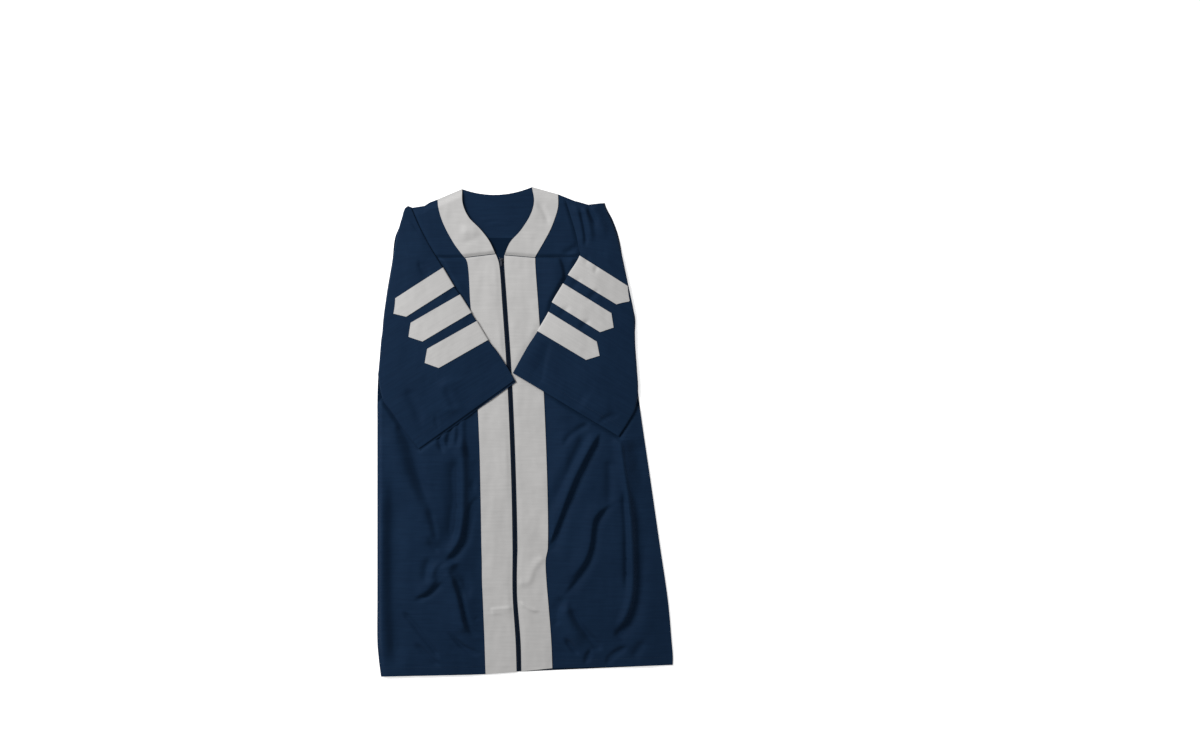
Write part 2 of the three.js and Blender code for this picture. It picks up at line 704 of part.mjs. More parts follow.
function pullTab() {
  const half = PULL.width / 2;
  const tab = new THREE.Shape();
  tab.moveTo(-half, PULL.bar);
  tab.lineTo(-half, -PULL.length + half);
  tab.absarc(0, -PULL.length + half, half, Math.PI, 2 * Math.PI, false);
  tab.lineTo(half, PULL.bar);
  const window = new THREE.Path();
  window.moveTo(-PULL.window, -PULL.bar);
  window.lineTo(PULL.window, -PULL.bar);
  window.lineTo(PULL.window, -PULL.root);
  window.lineTo(-PULL.window, -PULL.root);
  const hole = new THREE.Path().absarc(0, -PULL.length + half, PULL.hole, 0, 2 * Math.PI, true);
  tab.holes.push(window, hole);
  const options = { depth: PULL.thick, bevelEnabled: false, curveSegments: ROUND_STEPS };
  const geometry = new THREE.ExtrudeGeometry(tab, options).translate(0, 0, -PULL.thick / 2);
  return geometry.rotateX(THREE.MathUtils.degToRad(PULL.tilt));
}

function zip() {
  zipStrips();
  const pivot = sliderPivot();
  add("zip_slider", joined(sliderBody(pivot), crownBody()), METAL).position.copy(pivot);
  add("zip_pull", pullTab(), METAL).position.copy(pivot);
}

add("back_body", backBody(), NAVY);
add("back_yoke", backYoke(), NAVY);
for (const side of ["right", "left"]) {
  fronts(side);
  sleeve(side);
}
zip();

// The origin is the middle of the gown's box, on the floor
const box = new THREE.Box3().setFromObject(gown);
const centre = box.getCenter(new THREE.Vector3());
gown.position.set(-centre.x, -centre.y, -box.min.z);

export default gown;
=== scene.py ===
# A navy graduation gown laid flat, face up: cloth, sewing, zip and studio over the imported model.
# The tables are in millimetres, as the gown was measured. Left and right are the wearer's.
import json
import math
from collections import namedtuple

import bpy
import numpy as np
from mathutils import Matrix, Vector, noise


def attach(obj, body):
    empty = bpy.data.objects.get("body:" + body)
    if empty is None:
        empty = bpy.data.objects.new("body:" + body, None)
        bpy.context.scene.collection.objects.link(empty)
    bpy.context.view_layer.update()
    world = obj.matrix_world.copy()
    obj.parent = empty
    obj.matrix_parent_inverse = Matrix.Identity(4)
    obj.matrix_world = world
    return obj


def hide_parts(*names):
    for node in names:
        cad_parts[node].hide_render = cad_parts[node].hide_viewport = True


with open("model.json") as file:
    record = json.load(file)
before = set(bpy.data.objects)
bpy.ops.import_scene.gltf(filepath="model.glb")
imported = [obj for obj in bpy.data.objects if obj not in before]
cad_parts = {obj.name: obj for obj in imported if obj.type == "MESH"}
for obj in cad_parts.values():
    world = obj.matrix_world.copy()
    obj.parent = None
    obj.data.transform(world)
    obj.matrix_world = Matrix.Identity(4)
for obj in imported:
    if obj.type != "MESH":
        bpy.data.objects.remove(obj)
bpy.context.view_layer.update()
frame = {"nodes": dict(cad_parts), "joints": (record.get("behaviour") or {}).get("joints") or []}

# Cloth and the stack of layers
CLOTH = 1.0
SEAM_GAP = 0.3
FRONT_BOTTOM = CLOTH + SEAM_GAP
FRONT_TOP = FRONT_BOTTOM + CLOTH
BAND_BOTTOM = FRONT_TOP + SEAM_GAP
BAND_TOP = BAND_BOTTOM + CLOTH

# Grid cells, and the rough panel sizes that they divide
CELL = 3.6
BACK_CELL = 9.0
UNDER_CELL = 12
BACK = {"width": 780, "length": 1165}
BACK_YOKE = {"width": 560, "length": 110}
FRONT = {"width": 285, "band": 83, "length": 1115}
YOKE = {"width": 100, "band": 80, "length": 190}

# Body
OUTWARDS = {"right": -1, "left": 1}
BACK_YOKE_SEAM_Y = 520
BACK_YOKE_TOP_Y = 600
BACK_NECK_DIP = 36
NECK_X = {"right": -167, "left": 20}
ARMHOLE_INSET = 15
ARMHOLE_END_Y = {"right": 100, "left": 84}
ARMHOLE_RUN_OUT = 26
HEM_SIDE_Y = {"right": -655, "left": -624}
HEM_CENTRE_Y = {"right": -643, "left": -641}

# Relief of the cloth
CLEAR_OF_SLEEVE = 14
YOKE_CLEAR_OF_SLEEVE = 7
SWELL = 8.0
SWELL_RUN_OUT = 60
SIDE_RUN_OUT = {"right": 14, "left": 80}
HEM_RUN_OUT = 110
HEM_SHARE = 0.5
BAND_SWELL = 0.8
BAND_FOLD_SHARE = 0.3
BAND_FOLD_RUN_OUT = 16
EDGE_RUN_OUT = 14
YOKE_SWELL = 5.0
SEAM_RUN_OUT = 8
YOKE_RUN_OUT = 24
CREST_STEPS = 24
POINTED = 0.6
FOLD_END = 24
WHITE_SEAM_GAP = 1.4
SEAM_RIDGE = {"height": 0.9, "width": 5, "run_out": 30}
BACK_RELIEF = {"middle_x": -60, "reach": 240, "run_out": 60}
CRUMPLE = 1.4
SMALL_CRUMPLE_SHARE = 0.4
BROAD_CRUMPLE = {"across": 42, "down": 80, "layer": 0.5}
SMALL_CRUMPLE = {"across": 16, "down": 24, "layer": 5.5}

# Sleeves and their bars
FOLD_RADIUS = 2
ROLL = 5
UNDER_INSET = 9
ARCH = 0.75
CUFF_PEEK = {"right": 7, "left": 0}
BAR_STRAIGHT = 151
BAR_CELLS = round(BAR_STRAIGHT / CELL)
BAR_POINT = 25
BAR_RETURN = 14
BAR_GAP = 0.35
ROLL_STEPS = 6
FOLD_STEPS = 8

# Sewing. A stitch is a spindle: its two ends, then four points round its middle
STITCH = {"length": 2.5, "pitch": 3.1, "width": 0.42, "height": 0.16}
SPINDLE = [(3, 2, 0), (4, 3, 0), (5, 4, 0), (2, 5, 0), (2, 3, 1), (3, 4, 1), (4, 5, 1), (5, 2, 1)]
STITCH_INSET = 2.2
HEM_DEPTH = 20

# Zip. The tops are heights over the floor, and the pull tab is measured from its pivot
COIL_TOP = 3.2
TOOTH_PITCH = 1.5
TOOTH = {"length": 2.9, "past_middle": 0.4, "wide": 0.95, "bevel": 0.28}
TEETH_END_GAP = 1
SLIDER_Y = 461
SLIDER = {"wide": 8.6, "narrow": 6.2, "up": 5, "down": 6, "top": 4.7}
SLIDER_EDGES = {"corner": 1.3, "rim": 0.8, "sunk": 0.3, "bevel": 0.25}
CROWN = {"ring": 2.2, "wire": 0.8, "width": 2.4, "height": 2}
PULL = {"width": 5.4, "length": 16.5, "thick": 1.3, "bar": 0.8, "root": 3.4, "tilt": 8}
PULL_HOLES = {"half_window": 1.6, "radius": 1.1, "cutter": 4}
PULL_EDGES = {"round_end": 0.98, "corner": 0.6, "bevel": 0.22}
SEGMENTS = {"corner": 4, "ring": 36, "wire": 14, "tab_end": 9, "tab_corner": 3, "hole": 28, "bevel": 2}

# Tests on the metal pieces: metres within which places are the same, and the least rise of an upward normal
SAME_PLACE = 1e-6
FACES_UP = 0.9

# Angles, in degrees, from which an edge is sharp or is bevelled
SHARP = {"cloth": 55, "teeth": 60, "metal": 40}
BEVEL_FROM = 50

# Cloths: dark and light linear colour, roughness, relief in millimetres, sheen and specular level
CLOTHS = {
    # The first row is a darker copy of the navy cloth: painted shade for the back body's upper face inside
    # the neck
    "navy cloth painted shade": ((0.0027, 0.0100, 0.0262, 1), (0.0040, 0.0134, 0.0330, 1), 0.8, 0.12, 0.0, 0.03),
    "navy cloth": ((0.0034, 0.0136, 0.0362, 1), (0.0064, 0.0212, 0.0518, 1), 0.72, 0.12, 0.03, 0.06),
    "white cloth": ((0.445, 0.440, 0.435, 1), (0.512, 0.505, 0.499, 1), 0.62, 0.08, 0.05, 0.3),
}

# Other surfaces: dark and light linear colour, scale of the grain, roughness, relief in millimetres
SURFACES = {
    "zip tape": ((0.006, 0.011, 0.022, 1), (0.012, 0.021, 0.039, 1), 900, 0.85, 0.1),
    "zip coil": ((0.005, 0.009, 0.018, 1), (0.010, 0.017, 0.032, 1), 700, 0.6, 0.03),
    "zip metal": ((0.018, 0.022, 0.034, 1), (0.045, 0.052, 0.070, 1), 500, 0.42, 0.02),
    "navy thread": (*CLOTHS["navy cloth"][:2], 1500, 0.6, 0.05),
    "white thread": (*CLOTHS["white cloth"][:2], 1500, 0.6, 0.05),
    "pale floor": ((0.94, 0.94, 0.94, 1), (0.94, 0.94, 0.94, 1), 4, 0.9, 0),
}

# What some of these surfaces give to the shader itself
GLOSS = {
    "zip tape": {"Specular IOR Level": 0.04},
    "zip coil": {"Specular IOR Level": 0.05},
    "zip metal": {"Metallic": 0.3, "Coat Weight": 0.3},
    "pale floor": {"Emission Color": (1, 1, 1, 1), "Emission Strength": 0.5},
}

# Weave and other surfaces: scale and detail of their noises, shares of tone and height, spread of the gloss
RIB_PITCH = 0.0007
SLUB = {"scale": (14, 190, 1), "detail": 3, "tone": 0.55, "height": 0.6}
CLOUD = {"scale": 9, "detail": 4, "tone": 0.45}
CONTRAST = {"gain": 2.2, "offset": -0.6}
THREAD = {"warp": 0.35, "height": 0.15}
WEAVE_GLOSS = 0.16
SHEEN_ROUGHNESS = 0.45
MOTTLE_DETAIL = 4
MOTTLE_GLOSS = 0.2

# Studio: places and sizes in metres, the sensor in millimetres, the power in watts
CAMERA_PLACE = (0.2007, 0.1520, 6.0)
FIELD_WIDTH = 3.216
SENSOR = 36
WORLD_WHITE = (1, 1, 1, 1)
WORLD_STRENGTH = 0.4
KEY_PLACE = (-2.95, 2.2, 2.75)
KEY_SIZE = 1.85
KEY_POWER = 205
FLOOR_SIZE = 14
FLOOR_DROP = 0.0006


def table(columns, rows):
    """Rows of numbers as named columns."""
    return dict(zip(columns.split(), np.array(rows, float).T))


# Outer edge of the gown on each side, from the shoulder tips to the hem
SIDES = table("y right left", [
    (612, -312, 212),
    (590, -324, 219),
    (560, -331, 237),
    (520, -347, 253),
    (460, -354, 264),
    (390, -366, 278),
    (350, -372, 285),
    (305, -378, 297),
    (255, -382, 296),
    (165, -391, 302),
    (100, -394, 305.5),
    (30, -394, 314.5),
    (-130, -394, 338),
    (-300, -394, 362.5),
    (-450, -394, 384.5),
    (-560, -394, 394.5),
    (-610, -390, 398),
    (-657, -384, 394),
])

# Shoulder line from one sleeve's tip to the other, with the neck between
SHOULDER = table("x y", [
    (-320, 600),
    (-312, 606),
    (-300, 601),
    (-268, 606),
    (-254, 615),
    (-233, 623),
    (-167, 651),
    (20, 656.5),
    (90, 637),
    (135, 619),
    (171, 608.5),
    (212, 613.5),
])

# Centre front: the zip's middle, half the gap between the bands, and each white band's width
CENTRE = table("y zip gap right left", [
    (480, -66, 12, 87, 83),
    (450, -61, 7, 84, 83),
    (350, -53.5, 6.6, 85, 83),
    (165, -41, 6.6, 83, 83),
    (-20, -32.5, 6.6, 82, 83),
    (-180, -27.5, 6.6, 83, 83),
    (-310, -25.2, 6.8, 83, 81),
    (-343, -25.6, 6.4, 82, 76),
    (-400, -26.2, 6.2, 81, 79),
    (-450, -25, 6.2, 80, 82),
    (-560, -17, 6.8, 83, 82),
    (-645, -14.5, 6.6, 83, 83),
])

# Front yokes from the shoulder down to the yoke seam: armhole side, white band's outer edge, neck edge
YOKE_COLUMNS = "down side_x side_y edge_x edge_y neck_x neck_y"
YOKES = {
    "right": table(YOKE_COLUMNS, [
        (0.0, -303, 602, -233, 623, -167, 651),
        (0.2, -311, 577, -230, 600, -165, 611),
        (0.4, -321, 548, -222, 571, -149, 575),
        (0.6, -332, 517, -208, 539, -119, 544),
        (0.8, -336, 490, -186, 501, -95, 513),
        (1.0, -339, 468, -161, 468, -78, 478),
    ]),
    "left": table(YOKE_COLUMNS, [
        (0.0, 198, 611, 90, 637, 20, 656.5),
        (0.2, 211, 577, 90, 604, 26, 618),
        (0.4, 224, 548, 82, 574, 16, 581),
        (0.6, 236, 517, 69, 541, -9, 541),
        (0.8, 243, 490, 49, 504, -38, 508),
        (1.0, 247, 471, 28, 468, -53, 475),
    ]),
}

# Sleeves from the shoulder to the cuff: which bar starts or ends here, overarm fold, outer edge,
# height of the underside, loft between the layers, and how far the outer edge is the sewn underarm (1)
# or the armhole (0)
STATION_COLUMNS = "bar fold_x fold_y outer_x outer_y under loft underarm"
STATIONS = {
    "right": table(STATION_COLUMNS, [
        (0, -303, 600, -321, 599, 2.7, 0, 0),
        (0, -280, 547, -338, 541, 2.7, 1, 0),
        (0, -253, 496, -347, 498, 3.2, 2, 0),
        (0, -234, 465, -358, 429, 4.4, 3, 0),
        (1, -218.4, 440, -373, 340, 5.4, 4, 0),
        (1, -188.4, 389.7, -381, 267, 5.4, 5, 0),
        (2, -173, 368, -384, 246, 5.4, 5, 0),
        (2, -142.3, 319.7, -390, 172, 5.4, 6, 0),
        (3, -127.8, 297, -392, 148, 5.4, 6, 0),
        (3, -97.3, 246.6, -378, 86, 5.4, 7, 1),
        (0, -73, 215.5, -354, 52, 5.5, 6, 1),
        (0, -49, 179.6, -321, 4, 5.4, 4, 1),
        (0, -26, 140, -283, -44, 5.4, 1.5, 1),
    ]),
    "left": table(STATION_COLUMNS, [
        (0, 111, 620, 212, 612, 2.7, 3, 0),
        (0, 123, 581.6, 230.5, 571, 2.7, 4, 0),
        (0, 136.7, 536, 249, 525, 3.2, 4, 0),
        (0, 145.5, 493, 262, 472, 4.4, 4, 0),
        (1, 148.7, 471.7, 279.5, 389, 5.4, 4, 0),
        (1, 117.4, 420.2, 295, 312, 5.4, 5, 0),
        (2, 104.3, 397.4, 296, 279, 5.4, 5, 0),
        (2, 74.5, 347, 298, 208, 5.4, 6, 0),
        (3, 65.4, 321.6, 301, 175, 5.4, 6, 0),
        (3, 35.4, 270.4, 304.7, 110, 5.4, 7, 0),
        (0, 9.4, 230.5, 296, 62, 5.5, 6, 1),
        (0, -12, 193, 277.4, 27, 5.4, 4, 1),
        (0, -31, 158, 253, -11.5, 5.4, 1.5, 1),
    ]),
}

# Folds and creases: height over the cloth (negative in a valley), the width of the slope on each hand
# of the path, the path itself, and the lengths over which it rises at its start and falls at its end
Fold = namedtuple("Fold", "height left_hand right_hand path rise fall", defaults=(FOLD_END, FOLD_END))

# Large folds, by panel
FOLDS = {"yoke_left": []}
FOLDS["front_right"] = [
    Fold(8, 10, 15, [(-170, -5), (-163, -102), (-163, -169), (-166, -236), (-180, -296), (-208, -340)], 40),
    Fold(9, 20, 30, [
        (-354, 30), (-343, -30), (-331, -82), (-306, -149), (-273, -216), (-228, -315),
    ], 60, 50),
    Fold(6, 22, 14, [(-384, -80), (-384, -236), (-382, -437), (-378, -537), (-369, -640)], 160, 90),
    Fold(8, 30, 20, [(-216, -350), (-205, -385), (-193, -420), (-182, -455)], 12, 60),
    Fold(8, 7, 22, [
        (-212, -366), (-196, -390), (-184, -432), (-173, -477), (-165, -514), (-151, -539),
    ], 20),
    Fold(6, 8, 24, [(-224, -392), (-239, -395), (-263, -423), (-292, -440)]),
    Fold(6, 11, 8, [(-214, -350), (-237, -360), (-247, -378), (-249, -403)]),
]
FOLDS["front_left"] = [
    Fold(9, 6, 30, [(203, 4), (165, -62), (137, -115), (112, -176), (90, -236), (62, -309)], 40),
    Fold(5, 16, 30, [(150, 10), (120, -60), (92, -130), (72, -190)], 40, 60),
    Fold(9, 42, 13, [(249, -8), (260, -60), (268, -110), (278, -190)], 20, 100),
    Fold(9, 11, 11, [(266, -88), (283, -236), (289, -370), (286, -437), (269, -494), (245, -528)], 150, 40),
    Fold(7, 7, 30, [(228, -190), (186, -229), (179, -269), (174, -303), (159, -343), (109, -410)], 50, 60),
    Fold(8, 26, 20, [(96, -456), (115, -500), (135, -540), (160, -580)], 30, 50),
]
FOLDS["yoke_right"] = [
    Fold(3, 14, 14, [(-173, 525), (-146, 539), (-114, 525)]),
]
FOLDS["sleeve_right"] = [
    Fold(3, 14, 22, [(-300, 585), (-274, 532), (-240, 462)]),
    Fold(5, 24, 30, [(-352, 95), (-318, 55), (-290, -10)]),
    Fold(5, 26, 22, [(-214, 150), (-200, 95), (-196, 40)]),
]
FOLDS["sleeve_left"] = [
    Fold(6, 9, 14, [(130, 612), (145, 572), (154, 530), (152, 495)]),
    Fold(6, 10, 14, [(158, 606), (168, 572), (176, 535), (180, 500)], 16, 40),
    Fold(6, 14, 18, [(180, 608), (198, 580), (210, 550), (214, 505)], 16, 50),
    Fold(6, 26, 9, [(34, 256), (12, 210), (-8, 170)]),
    Fold(5, 20, 26, [(150, 90), (200, 64), (240, 56)]),
]

# Creases, by panel
CREASES = {}
CREASES["front_right"] = [
    Fold(-9, 26, 18, [
        (-356, -72), (-352, -169), (-353, -437), (-351, -504), (-345, -584), (-338, -652),
    ], 160, 90),
    Fold(-9, 14, 18, [(-334, 30), (-323, 5), (-303, -35), (-292, -82), (-280, -129), (-253, -209)], 24, 80),
    Fold(-5, 8, 10, [(-262, -190), (-253, -209), (-243, -249), (-234, -296)], 40),
    Fold(-12, 7, 24, [(-177, -62), (-181, -100), (-181, -182), (-185, -250), (-199, -312)], 40, 50),
    Fold(-4, 6, 9, [(-262, -276), (-246, -302), (-226, -326)], 30, 20),
    Fold(-9, 14, 7, [
        (-120, -166), (-145, -208), (-153, -249), (-161, -289), (-180, -318), (-210, -349),
    ], 50),
    Fold(-4, 8, 8, [(-134, -119), (-138, -142), (-133, -165)]),
    Fold(-6, 10, 12, [(-250, -331), (-263, -366), (-263, -410)]),
    Fold(-6, 8, 6, [(-212, -398), (-218, -402), (-239, -423), (-265, -440), (-299, -452)]),
    Fold(-8, 8, 6, [
        (-190, -386), (-172, -432), (-162, -477), (-154, -511), (-140, -536), (-114, -545),
    ], 24),
    Fold(-9, 14, 20, [(-196, -352), (-172, -376), (-158, -408), (-150, -456)], 20, 40),
    Fold(-6, 6, 6, [(-138, -509), (-118, -492)]),
    Fold(-9, 7, 6, [(-214, -524), (-194, -546), (-168, -572), (-140, -590), (-114, -595)], 70),
    Fold(-6, 6, 8, [(-328, -476), (-293, -517), (-263, -557), (-225, -606)]),
    Fold(-5, 6, 8, [(-296, -560), (-262, -594), (-222, -632)]),
    Fold(-8, 8, 8, [(-236, 20), (-229, -16), (-217, -62)]),
    Fold(-9, 9, 9, [(-194, 34), (-201, -8), (-208, -48)]),
    Fold(-7, 8, 8, [(-181, 42), (-177, -5), (-182, -45)]),
    Fold(-6, 16, 14, [(-146, 60), (-152, -8), (-143, -80)]),
    Fold(2.4, 3, 14, [(-92, -475), (-62, -472), (-28, -469)], 8, 8),
    Fold(0.8, 4, 4, [(-108, -489), (-74, -486), (-44, -488)]),
    Fold(-0.8, 3, 3, [(-66, -635), (-46, -632), (-25, -627)]),
]
CREASES["front_left"] = [
    Fold(-6, 16, 5, [(212, 8), (173, -65), (148, -122), (121, -182), (98, -243), (65, -322)], 60),
    Fold(-7, 10, 18, [(176, 2), (128, -86), (97, -152), (70, -225)], 30, 60),
    Fold(-5, 8, 8, [(180, 30), (169, 22), (122, -11), (102, -42)]),
    Fold(-5, 12, 12, [(226, -68), (229, -135), (226, -196)]),
    Fold(-7, 14, 5, [
        (248, -188), (203, -222), (189, -263), (186, -296), (173, -343), (146, -390), (103, -444),
    ], 60, 50),
    Fold(-6, 10, 14, [(108, -436), (103, -444), (92, -477), (82, -511)]),
    Fold(-8, 6, 9, [(266, -150), (271, -209), (274, -269), (275, -343), (274, -433)], 40, 50),
    Fold(-9, 22, 9, [
        (286, -110), (303, -249), (307, -377), (303, -437), (293, -484), (269, -524), (236, -551),
    ], 190),
    Fold(-5, 18, 24, [(292, -20), (304, -90), (318, -150)], 30, 60),
    Fold(-10, 9, 12, [(118, -452), (134, -490), (153, -522), (180, -553), (209, -588)], 40),
    Fold(3.5, 4, 6, [(257, -21), (267, -102), (278, -169), (285, -236)], 20, 60),
    Fold(-9, 6, 7, [(108, -546), (112, -554), (129, -578), (149, -599)]),
    Fold(-9, 6, 7, [(178, -576), (176, -584), (170, -604), (159, -626)]),
    Fold(-8, 8, 7, [(278, -572), (271, -576), (236, -599), (216, -626)]),
    Fold(-5, 7, 7, [(70, -519), (78, -517), (88, -507), (105, -500)]),
    Fold(-5, 12, 12, [(324, -552), (318, -564), (299, -591), (286, -614)]),
    Fold(-8, 26, 6, [(94, 478), (104, 452), (110, 425), (112, 400)], 14, 20),
    Fold(2.3, 12, 9, [(-20, -402), (9, -402), (25, -364), (55, -332)], 10, 14),
    Fold(3.2, 3, 6, [(-16, -452), (4, -465), (19, -474), (44, -480)], 18, 20),
    Fold(1.2, 6, 6, [(26, -448), (50, -446)]),
    Fold(1.2, 6, 6, [(32, -549), (50, -549)]),
    Fold(-0.8, 3, 3, [(-7, -630), (24, -630), (55, -630)]),
]
CREASES["yoke_right"] = [
    Fold(-2, 8, 8, [(-167, 506), (-141, 512), (-125, 496)]),
]
CREASES["yoke_left"] = [
    Fold(-2.5, 8, 8, [(31, 619), (50, 595), (66, 552)]),
    Fold(-5, 7, 8, [(148, 508), (134, 493), (119, 483), (98, 476)], 8, 16),
]
CREASES["sleeve_right"] = [
    Fold(-5, 8, 8, [(-312, 600), (-295, 565), (-275, 527)]),
    Fold(-8, 11, 15, [(-316, 120), (-299, 86), (-285, 56), (-277, 10)], 24, 40),
    Fold(-5, 10, 12, [(-213, 126), (-196, 86), (-183, 56)]),
    Fold(-6, 5, 6, [(-239, 50), (-229, 4)]),
    Fold(-5, 9, 10, [(-216, 350), (-176, 390)]),
    Fold(-5, 9, 10, [(-164, 280), (-131, 321)]),
    Fold(-6, 9, 10, [(-286, 462), (-268, 436), (-252, 412)]),
]
CREASES["sleeve_left"] = [
    Fold(-6, 6, 7, [(151, 600), (156, 570), (161, 541), (164, 512), (160, 490)], 20, 30),
    Fold(-6, 6, 8, [(167, 606), (180, 582), (189, 565), (194, 546)]),
    Fold(-5, 6, 7, [(210, 608), (215, 585)]),
    Fold(-6, 8, 7, [(150, 512), (142, 500), (152, 486)], 10, 10),
    Fold(-5, 8, 9, [(172, 478), (166, 458), (164, 440)]),
    Fold(-6, 7, 8, [(196, 450), (191, 434), (186, 420)]),
    Fold(-6, 9, 22, [(66, 248), (52, 193), (34, 122)]),
    Fold(-7, 7, 6, [(196, 22), (222, 38), (260, 48)]),
    Fold(-5, 9, 9, [(116, 374), (154, 418)]),
    Fold(-5, 9, 9, [(86, 300), (122, 342)]),
    Fold(-5, 9, 9, [(164, 348), (202, 384)]),
    Fold(-5, 9, 9, [(142, 270), (178, 304)]),
]
CREASES["back"] = [
    Fold(1.6, 5, 5, [(-128, 566), (-76, 572), (-20, 563)]),
    Fold(1.2, 5, 5, [(-108, 553), (-62, 559), (-30, 552)]),
]


# Numbers and tables


def mix(a, b, share):
    return a + (b - a) * share


def ease(share):
    share = np.clip(share, 0, 1)
    return share * share * (3 - 2 * share)


def steps(start, end, cell):
    """Even places from start to end, about a cell apart."""
    return np.linspace(start, end, max(int(round(abs(end - start) / cell)), 1) + 1)


def distances_along(points):
    """Distance of each point from the first, along the line that they make."""
    return np.concatenate([[0], np.cumsum(np.linalg.norm(np.diff(points, axis=0), axis=1))])


def column_at(rows, column, place, key="y"):
    """A table's column at places along its key column, eased through the rows by a cubic."""
    order = np.argsort(rows[key])
    keys = rows[key][order]
    values = rows[column][order]
    wide_keys = np.pad(keys, 1, mode="edge")
    wide_values = np.pad(values, 1, mode="edge")
    slopes = (wide_values[2:] - wide_values[:-2]) / (wide_keys[2:] - wide_keys[:-2])
    place = np.clip(place, keys[0], keys[-1])
    i = np.clip(np.searchsorted(keys, place, side="right") - 1, 0, len(keys) - 2)
    span = keys[i + 1] - keys[i]
    share = (place - keys[i]) / span
    bend = share * share * (2 * share - 3)
    start = values[i] * (1 + bend) + slopes[i] * span * share * (share - 1) ** 2
    end = slopes[i + 1] * span * share * share * (share - 1) - values[i + 1] * bend
    return start + end


def smooth_path(points, count):
    """Points on an even curve through a path's corners."""
    corners = np.array(points, float)
    rows = {"along": distances_along(corners), "x": corners[:, 0], "y": corners[:, 1]}
    place = np.linspace(0, rows["along"][-1], count + 1)
    return np.stack([column_at(rows, axis, place, "along") for axis in "xy"], axis=1)


def shoulder_y(x):
    return np.interp(x, SHOULDER["x"], SHOULDER["y"])


# Relief: folds, creases and the faint unevenness of worn cloth


def from_segment(a, b, x, y):
    """Each point's distance from a straight run between two points, and its share of the way."""
    run = b - a
    share = np.clip(((x - a[0]) * run[0] + (y - a[1]) * run[1]) / run.dot(run), 0, 1)
    return np.hypot(x - a[0] - run[0] * share, y - a[1] - run[1] * share), share


def beside_path(path, x, y):
    """Each point's distance from a path, the lengths of path before and after it, and its hand."""
    crest = smooth_path(path, CREST_STEPS)
    reached = 0.0
    nearest = np.full(x.shape, np.inf)
    along = np.zeros(x.shape)
    hand = np.ones(x.shape)
    for a, b in zip(crest, crest[1:]):
        run = b - a
        length = math.hypot(*run)
        away, share = from_segment(a, b, x, y)
        closer = away < nearest
        nearest = np.where(closer, away, nearest)
        along = np.where(closer, reached + share * length, along)
        hand = np.where(closer, np.sign(run[0] * (y - a[1]) - run[1] * (x - a[0])), hand)
        reached += length
    return nearest, along, reached - along, hand


def fold_height(fold, x, y):
    nearest, along, left, hand = beside_path(fold.path, x, y)
    fade = ease(along / fold.rise) * ease(left / fold.fall)
    width = np.where(hand > 0, fold.left_hand, fold.right_hand)
    return fold.height * fade * np.exp(-((nearest / (width * mix(POINTED, 1, fade))) ** 2))


def folds_at(panel, x, y):
    squares = sum((fold_height(fold, x, y) ** 2 for fold in FOLDS[panel]), np.zeros(x.shape))
    return np.sqrt(squares)


def creases_at(panel, x, y):
    return sum((fold_height(crease, x, y) for crease in CREASES[panel]), np.zeros(x.shape))


def unevenness(x, y, across, down, layer):
    """Smooth noise over the cloth, of a size across and down, from one layer of the noise."""
    values = [noise.noise((a / across, b / down, layer)) for a, b in zip(x.ravel(), y.ravel())]
    return np.reshape(values, x.shape)


def crumple(x, y):
    small = SMALL_CRUMPLE_SHARE * unevenness(x, y, **SMALL_CRUMPLE)
    return CRUMPLE * (unevenness(x, y, **BROAD_CRUMPLE) + small)


def distance_outside(outline, x, y):
    """How far each point lies outside a closed outline, and 0 inside it."""
    inside = np.zeros(x.shape, bool)
    nearest = np.full(x.shape, np.inf)
    for a, b in zip(outline, np.roll(outline, -1, axis=0)):
        nearest = np.minimum(nearest, from_segment(a, b, x, y)[0])
        run = b - a
        slope = run[0] / run[1] if run[1] else 0.0
        inside ^= ((a[1] > y) != (b[1] > y)) & (x < a[0] + slope * (y - a[1]))
    return np.where(inside, 0, nearest)


def clear_of_sleeves(x, y):
    distances = []
    for rows in STATIONS.values():
        folds = np.stack([rows["fold_x"], rows["fold_y"]], axis=1)
        outers = np.stack([rows["outer_x"], rows["outer_y"]], axis=1)
        distances.append(distance_outside(np.concatenate([folds, outers[::-1]]), x, y))
    return np.minimum(*distances)


# Cloth meshes


def to_frame(points):
    """Millimetres of the tables as metres of the part's frame."""
    return (np.asarray(points) - ORIGIN) / 1000


def raised(grid, height):
    return grid + np.array([0, 0, height])


def wall_faces(rows, columns):
    """Faces of a closed wall: an outer grid, an inner one and the rim between them."""
    outer = np.arange(rows * columns).reshape(rows, columns)
    inner = outer + outer.size
    quads = []
    for layer, turn in ((outer, 1), (inner, -1)):
        corners = [layer[:-1, :-1], layer[1:, :-1], layer[1:, 1:], layer[:-1, 1:]]
        quads.append(np.stack([c.ravel() for c in corners[::turn]], axis=1))
    rim = np.concatenate([outer[:-1, 0], outer[-1, :-1], outer[:0:-1, -1], outer[0, :0:-1]])
    after = np.roll(rim, -1)
    quads.append(np.stack([after, rim, rim + outer.size, after + outer.size], axis=1))
    return np.concatenate(quads)


def new_object(name, points, faces, material):
    mesh = bpy.data.meshes.new(name)
    mesh.from_pydata(to_frame(points).tolist(), [], faces)
    mesh.materials.append(material)
    obj = bpy.data.objects.new(name, mesh)
    bpy.context.scene.collection.objects.link(obj)
    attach(obj, "gown")
    return obj


def faces_outwards(points, faces):
    a, b, c, d = (points[faces[:, i]] for i in range(4))
    volume = np.einsum("ij,ij->", a, np.cross(b, c)) + np.einsum("ij,ij->", a, np.cross(c, d))
    return faces if volume > 0 else faces[:, ::-1]


